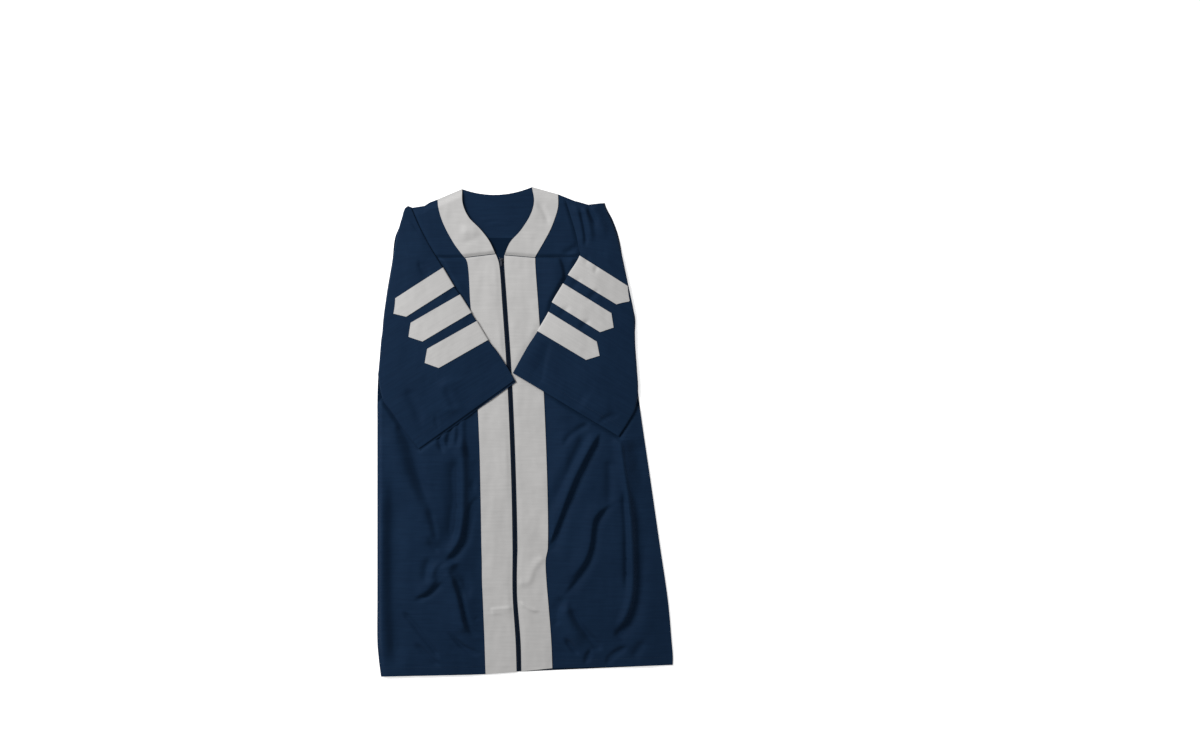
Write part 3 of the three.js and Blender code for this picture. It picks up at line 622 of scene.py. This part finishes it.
def sew(node, outer, inner, weave_places, material):
    """A cloth piece as a closed wall between two grids, which stands for a solid of the model."""
    points = np.concatenate([outer.reshape(-1, 3), inner.reshape(-1, 3)])
    faces = faces_outwards(points, wall_faces(*outer.shape[:2]))
    obj = new_object("cloth_" + node, points, faces.tolist(), material)
    mesh = obj.data
    mesh.shade_smooth()
    mesh.set_sharp_from_angle(angle=math.radians(SHARP["cloth"]))
    weave = mesh.uv_layers.new(name="weave")
    corner = np.zeros(len(mesh.loops), int)
    mesh.loops.foreach_get("vertex_index", corner)
    places = np.tile(weave_places.reshape(-1, 2) / 1000, (2, 1))
    weave.data.foreach_set("uv", places[corner].ravel())
    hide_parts(node)
    return obj


# Back: flat on the floor, seen inside the neck


def back_sheet(node, x, y):
    ridge = SEAM_RIDGE["height"] * np.exp(-(((y - BACK_YOKE_SEAM_Y) / SEAM_RIDGE["width"]) ** 2))
    lift = np.maximum(creases_at("back", x, y), 0)
    lift += ridge * ease((NECK_X["left"] - x) / SEAM_RIDGE["run_out"] + 1)
    from_middle = abs(x - BACK_RELIEF["middle_x"])
    shown = ease((BACK_RELIEF["reach"] - from_middle) / BACK_RELIEF["run_out"])
    grid = np.stack([x, y, lift * shown], axis=2)
    return sew(node, raised(grid, CLOTH), grid, grid[..., :2], NAVY)


def back_body():
    across = steps(0, 2, 2 * BACK_CELL / BACK["width"])
    hem = np.interp(across, [0, 1, 2], [HEM_SIDE_Y["right"], HEM_CENTRE_Y["left"], HEM_SIDE_Y["left"]])
    y = mix(BACK_YOKE_SEAM_Y, hem[None, :], steps(0, 1, BACK_CELL / BACK["length"])[:, None])
    x = mix(column_at(SIDES, "right", y), column_at(SIDES, "left", y), across[None, :] / 2)
    back = back_sheet("back_body", x, y)
    # The upper faces take the darker copy of the navy cloth: painted shade where the back body shows inside
    # the neck
    back.data.materials.append(NAVY_PAINTED_SHADE)
    for face in back.data.polygons:
        face.material_index = 1 if face.normal.z > 0 else 0


def neck_dip(x):
    share = np.clip((x - NECK_X["right"]) / (NECK_X["left"] - NECK_X["right"]), 0, 1)
    return 2 * BACK_NECK_DIP * share * (1 - share)


def back_yoke():
    across = steps(0, 1, CELL / BACK_YOKE["width"])[None, :]
    down = steps(0, 1, CELL / BACK_YOKE["length"])[:, None]
    at_y = mix(BACK_YOKE_TOP_Y, BACK_YOKE_SEAM_Y, down)
    x = mix(column_at(SIDES, "right", at_y), column_at(SIDES, "left", at_y), across)
    top = shoulder_y(x[:1]) - neck_dip(x[:1])
    back_sheet("back_yoke", x, mix(top, BACK_YOKE_SEAM_Y, down))


# Fronts: a grid from the side to the zip, whose last columns lie under the white band


def front_side_x(side, y):
    inset = ARMHOLE_INSET * ease((y - ARMHOLE_END_Y[side]) / ARMHOLE_RUN_OUT + 1)
    return column_at(SIDES, side, y) - OUTWARDS[side] * inset


def zip_edge_x(side, y):
    return column_at(CENTRE, "zip", y) + OUTWARDS[side] * column_at(CENTRE, "gap", y)


def band_edge_x(side, y):
    return zip_edge_x(side, y) + OUTWARDS[side] * column_at(CENTRE, side, y)


def panel_columns(panel_width, band_width):
    """Columns from 0 to 1 over the navy cloth and on to 2 over the white band, and the band's first."""
    panel = steps(0, 1, CELL / panel_width)
    band = steps(1, 2, CELL / band_width)
    return np.concatenate([panel, band[1:]])[None, :], len(panel) - 1


def front_relief(side, x, y, seam_y, hem_y):
    """Height of a front over its flat lay: a low swell, the large folds and the creases."""
    from_side = abs(x - front_side_x(side, y))
    from_zip = abs(x - zip_edge_x(side, y))
    from_band = OUTWARDS[side] * (x - band_edge_x(side, y))
    open_cloth = ease(clear_of_sleeves(x, y) / CLEAR_OF_SLEEVE) * ease((seam_y - y) / SEAM_RUN_OUT)
    over_hem = mix(HEM_SHARE, 1, ease((y - hem_y) / HEM_RUN_OUT))
    panel_swell = SWELL * ease(from_band / SWELL_RUN_OUT) * ease(from_side / SIDE_RUN_OUT[side])
    swell = (panel_swell + BAND_SWELL * ease(from_zip / EDGE_RUN_OUT)) * over_hem
    panel = "front_" + side
    on_band = mix(BAND_FOLD_SHARE, 1, ease(from_band / BAND_FOLD_RUN_OUT))
    relief = folds_at(panel, x, y) * on_band + creases_at(panel, x, y) + crumple(x, y)
    off_edges = ease(np.minimum(from_side, from_zip) / EDGE_RUN_OUT)
    return np.maximum(open_cloth * (swell + relief * off_edges), 0)


def front_grid(side):
    across, band_start = panel_columns(FRONT["width"], FRONT["band"])
    seam = [YOKES[side][edge][-1] - SEAM_GAP for edge in ("side_y", "edge_y", "neck_y")]
    top = np.interp(across, [0, 1, 2], seam)
    hem = mix(HEM_SIDE_Y[side], HEM_CENTRE_Y[side], across / 2)
    y = mix(top, hem, steps(0, 1, CELL / FRONT["length"])[:, None])
    panel_x = mix(front_side_x(side, y), band_edge_x(side, y), np.minimum(across, 1))
    band_x = mix(band_edge_x(side, y), zip_edge_x(side, y), np.maximum(across - 1, 0))
    x = np.where(across < 1, panel_x, band_x)
    return np.stack([x, y, front_relief(side, x, y, top, hem)], axis=2), band_start


# Front yokes, with the white band round the neck on their last columns


def yoke_point(side, column, across, down):
    edges = [column_at(YOKES[side], edge + column, down, "down") for edge in ("side_", "edge_", "neck_")]
    outer = mix(edges[0], edges[1], np.minimum(across, 1))
    return np.where(across < 1, outer, mix(edges[1], edges[2], np.maximum(across - 1, 0)))


def yoke_grid(side):
    across, band_start = panel_columns(YOKE["width"], YOKE["band"])
    down = steps(0, 1, CELL / YOKE["length"])[:, None]
    x = yoke_point(side, "x", across, down)
    y = yoke_point(side, "y", across, down)
    y = y + (shoulder_y(x[:1]) - y[:1]) * (1 - down)
    panel = "yoke_" + side
    ends = ease((y[:1] - y) / YOKE_RUN_OUT) * ease((y - y[-1:]) / SEAM_RUN_OUT)
    room = ease(clear_of_sleeves(x, y) / YOKE_CLEAR_OF_SLEEVE) * ends
    height = room * (YOKE_SWELL + folds_at(panel, x, y) + creases_at(panel, x, y) + crumple(x, y))
    return np.stack([x, y, np.maximum(height, 0)], axis=2), band_start


def front_and_band(side, front, band, below, grid, band_start):
    """A navy piece and the white band on it, sewn: their outer grids."""
    outer = raised(grid, FRONT_TOP)
    inner = raised(grid, FRONT_BOTTOM)
    sew(front + side, outer, inner, grid[..., :2], NAVY)
    white = grid[:, band_start:].copy()
    if front == "front_":
        white[0, :, 1] -= WHITE_SEAM_GAP
    top = raised(white, BAND_TOP)
    bottom = raised(white, BAND_BOTTOM)
    sew(band + side, top, bottom, white[..., :2], WHITE)
    white_stitches.extend([inset_line(top), inset_line(top[:, ::-1])])
    return outer, top


def fronts(side):
    grid, band_start = front_grid(side)
    outer, top = front_and_band(side, "front_", "band_", "back_body", grid, band_start)
    navy_stitches.append(outer[hem_row(grid), 1:band_start])
    white_stitches.append(top[hem_row(grid)])
    front_and_band(side, "front_yoke_", "band_yoke_", "back_yoke", *yoke_grid(side))


# Sleeves: one sheet folded at the overarm


def stations_at(side, place):
    """A sleeve's station values at distances along its overarm fold."""
    rows = STATIONS[side]
    at = {column: column_at(rows, column, place, "along")[:, None] for column in rows if column != "along"}
    at["length"] = np.hypot(at["outer_x"] - at["fold_x"], at["outer_y"] - at["fold_y"])
    at["underarm"] = np.clip(at["underarm"], 0, 1)
    at["side"] = side
    return at


def placed(at, reach, height):
    share = reach / at["length"]
    x = mix(at["fold_x"], at["outer_x"], share)
    y = mix(at["fold_y"], at["outer_y"], share)
    return np.stack([x, np.minimum(y, shoulder_y(x)), height], axis=2)


def top_height(at, reach):
    """Height of a sleeve's upper layer at a distance from the overarm fold."""
    spot = placed(at, reach, 0 * reach)
    x = spot[..., 0]
    y = spot[..., 1]
    share = np.clip((reach - FOLD_RADIUS) / (at["length"] - FOLD_RADIUS), 0, 1)
    panel = "sleeve_" + at["side"]
    fullness = at["loft"] + folds_at(panel, x, y) + creases_at(panel, x, y) + crumple(x, y)
    return at["under"] + 2 * FOLD_RADIUS + np.sin(np.pi * share) ** ARCH * np.maximum(fullness, 0)


def round_the_fold(at):
    turn = np.linspace(math.pi / 2, 3 * math.pi / 2, FOLD_STEPS + 1)[None, 1:]
    reach = FOLD_RADIUS + FOLD_RADIUS * np.cos(turn) + 0 * at["under"]
    return reach, at["under"] + FOLD_RADIUS + FOLD_RADIUS * np.sin(turn)


def outer_roll(at, flat_end):
    """The outer edge: rolled down to the back at the armhole, sewn to the under layer at the underarm."""
    turn = np.linspace(0, math.pi / 2, ROLL_STEPS + 1)[None, :-1]
    edge = mix(FRONT_BOTTOM, at["under"] + FOLD_RADIUS + SEAM_GAP / 2, at["underarm"])
    return flat_end + ROLL * np.cos(turn), mix(edge, top_height(at, flat_end), np.sin(turn))


def under_layer(at, flat_end):
    end = flat_end - UNDER_INSET * (1 - at["underarm"])
    count = int(round(at["length"].max() / UNDER_CELL))
    flat_reach = mix(FOLD_RADIUS, end, np.linspace(0, 1, count + 1)[None, 1:])
    turn = np.linspace(math.pi / 2, 0, ROLL_STEPS + 1)[None, 1:]
    rise = (FOLD_RADIUS - SEAM_GAP / 2) * at["underarm"] * (1 - np.sin(turn))
    flat_height = at["under"] + 0 * flat_reach
    return np.hstack([flat_reach, end + ROLL * np.cos(turn)]), np.hstack([flat_height, at["under"] + rise])


def top_cells(at):
    """How many cells a sleeve's upper layer has across."""
    return int(round(at["length"].max() / CELL))


def sleeve_section(at):
    """Distances from the fold and heights, from the outer edge over the top and back underneath."""
    flat_end = at["length"] - ROLL
    top_reach = mix(flat_end, FOLD_RADIUS, np.linspace(0, 1, top_cells(at) + 1)[None, :])
    top = (top_reach, top_height(at, top_reach))
    parts = [outer_roll(at, flat_end), top, round_the_fold(at), under_layer(at, flat_end)]
    return [np.hstack(column) for column in zip(*parts)]


def bar_section(at, across):
    """The same line over a bar, from its pointed end to its short return below."""
    end = BAR_STRAIGHT + BAR_POINT * (1 - abs(2 * across - 1))
    top_reach = mix(end, FOLD_RADIUS, np.linspace(0, 1, BAR_CELLS + 1)[None, :])
    back = (BAR_RETURN + 0 * at["under"], at["under"])
    parts = [(top_reach, top_height(at, top_reach)), round_the_fold(at), back]
    return [np.hstack(column) for column in zip(*parts)]


def moved_out(at, reach, height, distance):
    """A section's points moved out along its own normals."""
    run_reach = np.gradient(reach, axis=1)
    run_height = np.gradient(height, axis=1)
    run = np.hypot(run_reach, run_height)
    return placed(at, reach + distance * run_height / run, height - distance * run_reach / run)


def flat_places(reach, height, place):
    run = np.hypot(np.diff(reach, axis=1), np.diff(height, axis=1))
    across = np.pad(np.cumsum(run, axis=1), ((0, 0), (1, 0)))
    return np.stack([across, place[:, None] + 0 * across], axis=2)


def let_out_cuff(under, distance):
    """Moves the last row of an under layer on down the sleeve, so that it shows beyond the upper one."""
    down_sleeve = under[-1] - under[-2]
    under[-1] += down_sleeve / np.linalg.norm(down_sleeve, axis=1)[:, None] * distance


def sleeve(side):
    place = steps(0, STATIONS[side]["along"][-1], CELL)
    at = stations_at(side, place)
    reach, height = sleeve_section(at)
    outer = moved_out(at, reach, height, 0)
    inner = moved_out(at, reach, height, -CLOTH)
    top_end = ROLL_STEPS + top_cells(at)
    for layer in (outer, inner):
        let_out_cuff(layer[:, top_end + 1 :], CUFF_PEEK[side])
    places = flat_places(reach, height, place)
    sew("sleeve_" + side, outer, inner, places, NAVY)
    navy_stitches.append(outer[hem_row(outer), ROLL_STEPS + 1 : top_end])
    for number in (1, 2, 3):
        bar(side, number)


def bar(side, number):
    rows = STATIONS[side]
    first, last = rows["along"][rows["bar"] == number]
    place = steps(first, last, CELL)
    at = stations_at(side, place)
    across = ((place - first) / (last - first))[:, None]
    reach, height = bar_section(at, across)
    top = moved_out(at, reach, height, BAR_GAP + CLOTH)
    inner = moved_out(at, reach, height, BAR_GAP)
    node = f"bar_{side}_{number}"
    places = flat_places(reach, height, place)
    sew(node, top, inner, places, WHITE)
    shown = top[:, :BAR_CELLS]
    along = shown.transpose(1, 0, 2)
    white_stitches.extend([inset_line(shown), inset_line(along), inset_line(along[:, ::-1])])


# Sewing: rows of small stitches


def hem_row(grid):
    """The row of a grid where the turned hem is stitched."""
    return len(grid) - 1 - int(round(HEM_DEPTH / CELL))


def inset_line(grid):
    """A line on a grid, a little inside its first column."""
    run = grid[:, 1] - grid[:, 0]
    return grid[:, 0] + run * STITCH_INSET / np.linalg.norm(run, axis=1)[:, None]


def on_line(line, along, places):
    """Points of a line at distances along it."""
    return np.stack([np.interp(places, along, line[:, i]) for i in range(3)], axis=1)


def stitch_row(line):
    """One spindle of thread for each stitch along a line: its points and faces."""
    along = distances_along(line)
    places = np.arange(STITCH["pitch"], along[-1] - STITCH["pitch"] / 2, STITCH["pitch"])
    head = on_line(line, along, places - STITCH["length"] / 2)
    tail = on_line(line, along, places + STITCH["length"] / 2)
    middle = on_line(line, along, places)
    run = (tail - head) / np.linalg.norm(tail - head, axis=1)[:, None]
    sideways = np.stack([-run[:, 1], run[:, 0], 0 * run[:, 0]], axis=1) * STITCH["width"] / 2
    up = np.array([0, 0, STITCH["height"]])
    points = np.stack([head, tail, middle + sideways, middle + up, middle - sideways, middle - up], axis=1)
    first = points.shape[1] * np.arange(len(places))
    faces = np.array(SPINDLE)[None] + first[:, None, None]
    return points.reshape(-1, 3), faces.reshape(-1, 3)


def sew_stitches(name, lines, material):
    points = []
    faces = []
    for line in lines:
        row_points, row_faces = stitch_row(line)
        faces.append(row_faces + sum(len(p) for p in points))
        points.append(row_points)
    obj = new_object(name, np.concatenate(points), np.concatenate(faces).tolist(), material)
    obj.data.shade_smooth()


# Zip


def select_none():
    bpy.ops.object.select_all(action="DESELECT")


def apply_modifier(obj, kind, **values):
    bpy.context.view_layer.objects.active = obj
    modifier = obj.modifiers.new(kind.lower(), kind)
    for name, value in values.items():
        setattr(modifier, name, value)
    bpy.ops.object.modifier_apply(modifier=modifier.name)


def settle(obj):
    """Puts an object's place, turn and size into its mesh."""
    select_none()
    obj.select_set(True)
    bpy.context.view_layer.objects.active = obj
    bpy.ops.object.transform_apply(location=True, rotation=True, scale=True)


def box_object(name, low, high):
    """A block between two corners, which are in millimetres."""
    select_none()
    centre = [(a + b) / 2 / 1000 for a, b in zip(low, high)]
    bpy.ops.mesh.primitive_cube_add(size=1, location=centre)
    obj = bpy.context.object
    obj.name = name
    obj.scale = [(b - a) / 1000 for a, b in zip(low, high)]
    settle(obj)
    return obj


def choose(obj, kind, test):
    """In edit mode, selects only the vertices, edges or faces that pass a test."""
    bpy.ops.object.mode_set(mode="EDIT")
    bpy.ops.mesh.select_mode(type={"vertices": "VERT", "edges": "EDGE", "polygons": "FACE"}[kind])
    bpy.ops.object.mode_set(mode="OBJECT")
    for group in (obj.data.vertices, obj.data.edges, obj.data.polygons):
        group.foreach_set("select", [False] * len(group))
    for item in getattr(obj.data, kind):
        item.select = test(item)
    bpy.ops.object.mode_set(mode="EDIT")


def edge_ends(obj, edge):
    return [obj.data.vertices[i].co for i in edge.vertices]


def upright(obj, edge):
    a, b = edge_ends(obj, edge)
    return abs(a.x - b.x) + abs(a.y - b.y) < SAME_PLACE


def soften_edges(obj, width):
    """Bevels the sharp edges of a metal piece, by a width in millimetres."""
    limit = {"limit_method": "ANGLE", "angle_limit": math.radians(BEVEL_FROM)}
    apply_modifier(obj, "BEVEL", width=width / 1000, segments=SEGMENTS["bevel"], **limit)


def slider_body():
    low = (-SLIDER["wide"] / 2, -SLIDER["down"], FRONT_BOTTOM - PIVOT[2])
    high = (SLIDER["wide"] / 2, SLIDER["up"], SLIDER["top"] - PIVOT[2])
    body = box_object("zip_slider_body", low, high)
    bpy.ops.object.mode_set(mode="EDIT")
    bpy.ops.mesh.select_mode(type="EDGE")
    bpy.ops.mesh.subdivide(number_cuts=1)
    choose(body, "vertices", lambda corner: corner.co.y < -SLIDER["down"] / 1000 + SAME_PLACE)
    bpy.ops.transform.resize(value=(SLIDER["narrow"] / SLIDER["wide"], 1, 1), center_override=(0, 0, 0))
    off_middle = SLIDER["narrow"] / 4 / 1000
    choose(body, "edges", lambda edge: upright(body, edge) and abs(edge_ends(body, edge)[0].x) > off_middle)
    bpy.ops.mesh.bevel(offset=SLIDER_EDGES["corner"] / 1000, segments=SEGMENTS["corner"])
    choose(body, "polygons", lambda face: face.normal.z > FACES_UP)
    bpy.ops.mesh.inset(thickness=SLIDER_EDGES["rim"] / 1000, depth=0)
    sunk = SLIDER_EDGES["sunk"] / 1000
    bpy.ops.mesh.inset(thickness=sunk, depth=-sunk)
    bpy.ops.object.mode_set(mode="OBJECT")
    soften_edges(body, SLIDER_EDGES["bevel"])
    return body


def slider_crown():
    select_none()
    bpy.ops.mesh.primitive_torus_add(
        major_radius=CROWN["ring"] / 1000,
        minor_radius=CROWN["wire"] / 1000,
        major_segments=SEGMENTS["ring"],
        minor_segments=SEGMENTS["wire"],
        rotation=(0, math.pi / 2, 0),
    )
    crown = bpy.context.object
    crown.scale.z = CROWN["width"] / (2 * CROWN["wire"])
    settle(crown)
    return crown


def joined(name, *objects):
    select_none()
    for obj in objects:
        obj.select_set(True)
    bpy.context.view_layer.objects.active = objects[0]
    bpy.ops.object.join()
    objects[0].name = name
    return objects[0]


def finish_metal(obj, node, body):
    obj.location = to_frame(PIVOT)
    settle(obj)
    obj.data.materials.clear()
    obj.data.materials.append(METAL)
    bpy.ops.object.shade_smooth_by_angle(angle=math.radians(SHARP["metal"]))
    apply_modifier(obj, "WEIGHTED_NORMAL", keep_sharp=True)
    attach(obj, body)
    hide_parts(node)


def cut_away(obj, cutter):
    apply_modifier(obj, "BOOLEAN", object=cutter, operation="DIFFERENCE", solver="EXACT")
    bpy.data.objects.remove(cutter)


def cut_holes(tab):
    """The window round the slider's crown and the round hole near the tab's end."""
    half = PULL_HOLES["half_window"]
    deep = PULL_HOLES["cutter"] / 2
    cut_away(tab, box_object("window", (-half, -PULL["root"], -deep), (half, -PULL["bar"], deep)))
    select_none()
    bpy.ops.mesh.primitive_cylinder_add(
        vertices=SEGMENTS["hole"],
        radius=PULL_HOLES["radius"] / 1000,
        depth=PULL_HOLES["cutter"] / 1000,
        location=(0, (PULL["width"] / 2 - PULL["length"]) / 1000, 0),
    )
    cut_away(tab, bpy.context.object)


def pull_tab():
    half = PULL["width"] / 2
    thick = PULL["thick"] / 2
    tab = box_object("zip_pull_tab", (-half, -PULL["length"], -thick), (half, PULL["bar"], thick))
    end = -PULL["length"] / 1000 + SAME_PLACE
    choose(tab, "edges", lambda edge: upright(tab, edge) and edge_ends(tab, edge)[0].y < end)
    bpy.ops.mesh.bevel(offset=PULL_EDGES["round_end"] * half / 1000, segments=SEGMENTS["tab_end"])
    choose(tab, "edges", lambda edge: upright(tab, edge) and edge_ends(tab, edge)[0].y > 0)
    bpy.ops.mesh.bevel(offset=PULL_EDGES["corner"] / 1000, segments=SEGMENTS["tab_corner"])
    bpy.ops.object.mode_set(mode="OBJECT")
    cut_holes(tab)
    soften_edges(tab, PULL_EDGES["bevel"])
    tab.rotation_euler.x = math.radians(PULL["tilt"])
    return tab


def one_tooth():
    """One tooth of the coil, modelled once: its points in millimetres and its faces."""
    half = TOOTH["wide"] / 2
    low = (-TOOTH["past_middle"], -half, FRONT_BOTTOM)
    high = (TOOTH["length"] - TOOTH["past_middle"], half, COIL_TOP)
    tooth = box_object("tooth", low, high)
    apply_modifier(tooth, "BEVEL", width=TOOTH["bevel"] / 1000, segments=1)
    points = np.array([v.co for v in tooth.data.vertices]) * 1000
    faces = [tuple(p.vertices) for p in tooth.data.polygons]
    bpy.data.objects.remove(tooth)
    return points, faces


def zip_teeth():
    """The closed coil: teeth from both tapes, each between two of the other side."""
    points, faces = one_tooth()
    top = SLIDER_Y - SLIDER["down"] - SEAM_GAP - TEETH_END_GAP
    end = HEM_CENTRE_Y["left"] + TEETH_END_GAP
    all_points = []
    all_faces = []
    for side, start in ((1, 0), (-1, TOOTH_PITCH / 2)):
        turned = points * np.array([side, side, 1])
        for y in np.arange(top - start, end, -TOOTH_PITCH):
            offset = len(all_points) * len(points)
            all_points.append(turned + np.array([column_at(CENTRE, "zip", y), y, 0]))
            all_faces.extend(tuple(i + offset for i in face) for face in faces)
    obj = new_object("zip_teeth", np.concatenate(all_points), all_faces, COIL)
    obj.data.shade_smooth()
    obj.data.set_sharp_from_angle(angle=math.radians(SHARP["teeth"]))
    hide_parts("zip_coil")


def zip_pieces():
    zip_teeth()
    finish_metal(joined("zip_slider_and_crown", slider_body(), slider_crown()), "zip_slider", "gown")
    finish_metal(pull_tab(), "zip_pull", "pull_tab")
    for node in ("zip_tape_right", "zip_tape_left"):
        tape = frame["nodes"][node]
        tape.data.materials.clear()
        tape.data.materials.append(TAPE)


# Finishes


def give(tree, socket, value):
    """Gives a socket a value of its own or another node's output."""
    if isinstance(value, bpy.types.NodeSocket):
        tree.links.new(value, socket)
    else:
        socket.default_value = value


def feed(tree, sockets, values):
    for name, value in values.items():
        give(tree, sockets[name], value)


def math_node(tree, operation, *values):
    node = tree.nodes.new("ShaderNodeMath")
    node.operation = operation
    for socket, value in zip(node.inputs, values):
        give(tree, socket, value)
    return node.outputs[0]


def noise_node(tree, place, scale, detail):
    node = tree.nodes.new("ShaderNodeTexNoise")
    feed(tree, node.inputs, {"Vector": place, "Scale": scale, "Detail": detail})
    return node.outputs["Fac"]


def stretched(tree, place, scale):
    node = tree.nodes.new("ShaderNodeMapping")
    feed(tree, node.inputs, {"Vector": place, "Scale": scale})
    return node.outputs[0]


def colour_between(tree, share, dark, light):
    node = tree.nodes.new("ShaderNodeMix")
    node.data_type = "RGBA"
    give(tree, node.inputs["Factor"], share)
    colours = {socket.name: socket for socket in node.inputs if socket.type == "RGBA"}
    feed(tree, colours, {"A": dark, "B": light})
    return [socket for socket in node.outputs if socket.type == "RGBA"][0]


def uneven_gloss(tree, tone, roughness, spread):
    """Roughness that rises with the tone, by a spread about its own value."""
    lowest = math_node(tree, "SUBTRACT", roughness, spread / 2)
    return math_node(tree, "MULTIPLY_ADD", tone, spread, lowest)


def surface_group(name, own_input):
    """A node group from a place, two colours, a roughness and an input of its own to a surface's values."""
    group = bpy.data.node_groups.new(name, "ShaderNodeTree")
    inputs = {"Place": "Vector", "Dark": "Color", "Light": "Color"}
    inputs.update({own_input: "Float", "Roughness": "Float"})
    outputs = {"Colour": "Color", "Roughness": "Float", "Height": "Float"}
    for way, sockets in (("INPUT", inputs), ("OUTPUT", outputs)):
        for socket, kind in sockets.items():
            group.interface.new_socket(socket, in_out=way, socket_type="NodeSocket" + kind)
    given = group.nodes.new("NodeGroupInput").outputs
    return group, given, group.nodes.new("NodeGroupOutput").inputs


def thread_relief(tree, place, pitch):
    """Ribs along the weft, with weaker ones along the warp."""
    split = tree.nodes.new("ShaderNodeSeparateXYZ")
    give(tree, split.inputs[0], place)
    turn = math_node(tree, "DIVIDE", 2 * math.pi, pitch)
    rib = math_node(tree, "SINE", math_node(tree, "MULTIPLY", split.outputs["Y"], turn))
    warp = math_node(tree, "SINE", math_node(tree, "MULTIPLY", split.outputs["X"], turn))
    return math_node(tree, "MULTIPLY_ADD", warp, THREAD["warp"], rib)


def woven_group():
    """Woven cloth: slubs along the weft, cloudy tone, thread relief and uneven gloss."""
    tree, given, result = surface_group("woven cloth", "Rib pitch")
    place = given["Place"]
    slub = noise_node(tree, stretched(tree, place, SLUB["scale"]), 1, SLUB["detail"])
    cloud = noise_node(tree, place, CLOUD["scale"], CLOUD["detail"])
    slub_tone = math_node(tree, "MULTIPLY", slub, SLUB["tone"])
    tone = math_node(tree, "ADD", slub_tone, math_node(tree, "MULTIPLY", cloud, CLOUD["tone"]))
    contrast = math_node(tree, "MULTIPLY_ADD", tone, CONTRAST["gain"], CONTRAST["offset"])
    contrast.node.use_clamp = True
    colour = colour_between(tree, contrast, given["Dark"], given["Light"])
    thread = thread_relief(tree, place, given["Rib pitch"])
    slub_height = math_node(tree, "MULTIPLY", slub, SLUB["height"])
    height = math_node(tree, "MULTIPLY_ADD", thread, THREAD["height"], slub_height)
    rough = uneven_gloss(tree, tone, given["Roughness"], WEAVE_GLOSS)
    feed(tree, result, {"Colour": colour, "Roughness": rough, "Height": height})
    return tree


def mottled_group():
    """Moulded, lacquered or spun surfaces: fine tone changes, uneven gloss and small dents."""
    tree, given, result = surface_group("mottled surface", "Grain")
    tone = noise_node(tree, given["Place"], given["Grain"], MOTTLE_DETAIL)
    colour = colour_between(tree, tone, given["Dark"], given["Light"])
    rough = uneven_gloss(tree, tone, given["Roughness"], MOTTLE_GLOSS)
    feed(tree, result, {"Colour": colour, "Roughness": rough, "Height": tone})
    return tree


def finish(name, group, coordinate, group_values, relief, shader_values):
    """A material from a surface's node group, with a relief in millimetres."""
    material = bpy.data.materials.new(name)
    material.use_nodes = True
    tree = material.node_tree
    place = tree.nodes.new("ShaderNodeTexCoord").outputs[coordinate]
    made = tree.nodes.new("ShaderNodeGroup")
    made.node_tree = group
    bump = tree.nodes.new("ShaderNodeBump")
    shader = tree.nodes["Principled BSDF"]
    colour, roughness, height = made.outputs
    normal = bump.outputs["Normal"]
    feed(tree, made.inputs, {"Place": place, **group_values})
    feed(tree, bump.inputs, {"Strength": 1.0, "Distance": relief / 1000, "Height": height})
    feed(tree, shader.inputs, {"Base Color": colour, "Roughness": roughness, "Normal": normal})
    feed(tree, shader.inputs, shader_values)
    return material


def cloth_finish(name, dark, light, roughness, relief, sheen, specular):
    values = {"Dark": dark, "Light": light, "Rib pitch": RIB_PITCH, "Roughness": roughness}
    shader = {"Sheen Weight": sheen, "Sheen Roughness": SHEEN_ROUGHNESS, "Specular IOR Level": specular}
    return finish(name, WOVEN, "UV", values, relief, shader)


def mottled_finish(name, dark, light, grain, roughness, relief):
    values = {"Dark": dark, "Light": light, "Grain": grain, "Roughness": roughness}
    return finish(name, MOTTLED, "Object", values, relief, GLOSS.get(name, {}))


# Studio


def studio():
    bpy.ops.mesh.primitive_plane_add(size=FLOOR_SIZE, location=(0, 0, -FLOOR_DROP))
    floor = bpy.context.object
    floor.name = "floor"
    floor.data.materials.append(FLOOR)
    world = bpy.data.worlds.new("studio")
    world.use_nodes = True
    background = world.node_tree.nodes["Background"].inputs
    feed(world.node_tree, background, {"Strength": WORLD_STRENGTH, "Color": WORLD_WHITE})
    bpy.context.scene.world = world
    key = bpy.data.lights.new("softbox", "AREA")
    key.energy = KEY_POWER
    key.size = KEY_SIZE
    lamp = bpy.data.objects.new("softbox", key)
    lamp.location = KEY_PLACE
    lamp.rotation_euler = (-Vector(KEY_PLACE)).to_track_quat("-Z", "Y").to_euler()
    bpy.context.scene.collection.objects.link(lamp)
    bpy.context.scene.view_settings.view_transform = "Standard"


def camera():
    lens = bpy.data.cameras.new("camera")
    lens.sensor_width = SENSOR
    lens.lens = SENSOR * CAMERA_PLACE[2] / FIELD_WIDTH
    obj = bpy.data.objects.new("camera", lens)
    obj.location = CAMERA_PLACE
    bpy.context.scene.collection.objects.link(obj)
    bpy.context.scene.camera = obj


# Distances along each sleeve's overarm fold
for stations in STATIONS.values():
    stations["along"] = distances_along(np.stack([stations["fold_x"], stations["fold_y"]], axis=1))

# The pull tab's pivot in the tables, and the origin of the part's frame, which the joint gives
zip_at_slider = float(column_at(CENTRE, "zip", SLIDER_Y))
PIVOT = np.array([zip_at_slider, SLIDER_Y, SLIDER["top"] + CROWN["height"]])
ORIGIN = PIVOT - 1000 * np.array(frame["joints"][0]["pos_m"])

WOVEN = woven_group()
MOTTLED = mottled_group()
NAVY_PAINTED_SHADE, NAVY, WHITE = [cloth_finish(name, *row) for name, row in CLOTHS.items()]
TAPE, COIL, METAL, NAVY_THREAD, WHITE_THREAD, FLOOR = [
    mottled_finish(name, *row) for name, row in SURFACES.items()
]

# Lines to stitch, gathered as the pieces are made
white_stitches = []
navy_stitches = []
back_body()
back_yoke()
for gown_side in ("right", "left"):
    fronts(gown_side)
    sleeve(gown_side)
sew_stitches("stitches_white", white_stitches, WHITE_THREAD)
sew_stitches("stitches_navy", navy_stitches, NAVY_THREAD)
zip_pieces()
studio()
camera()
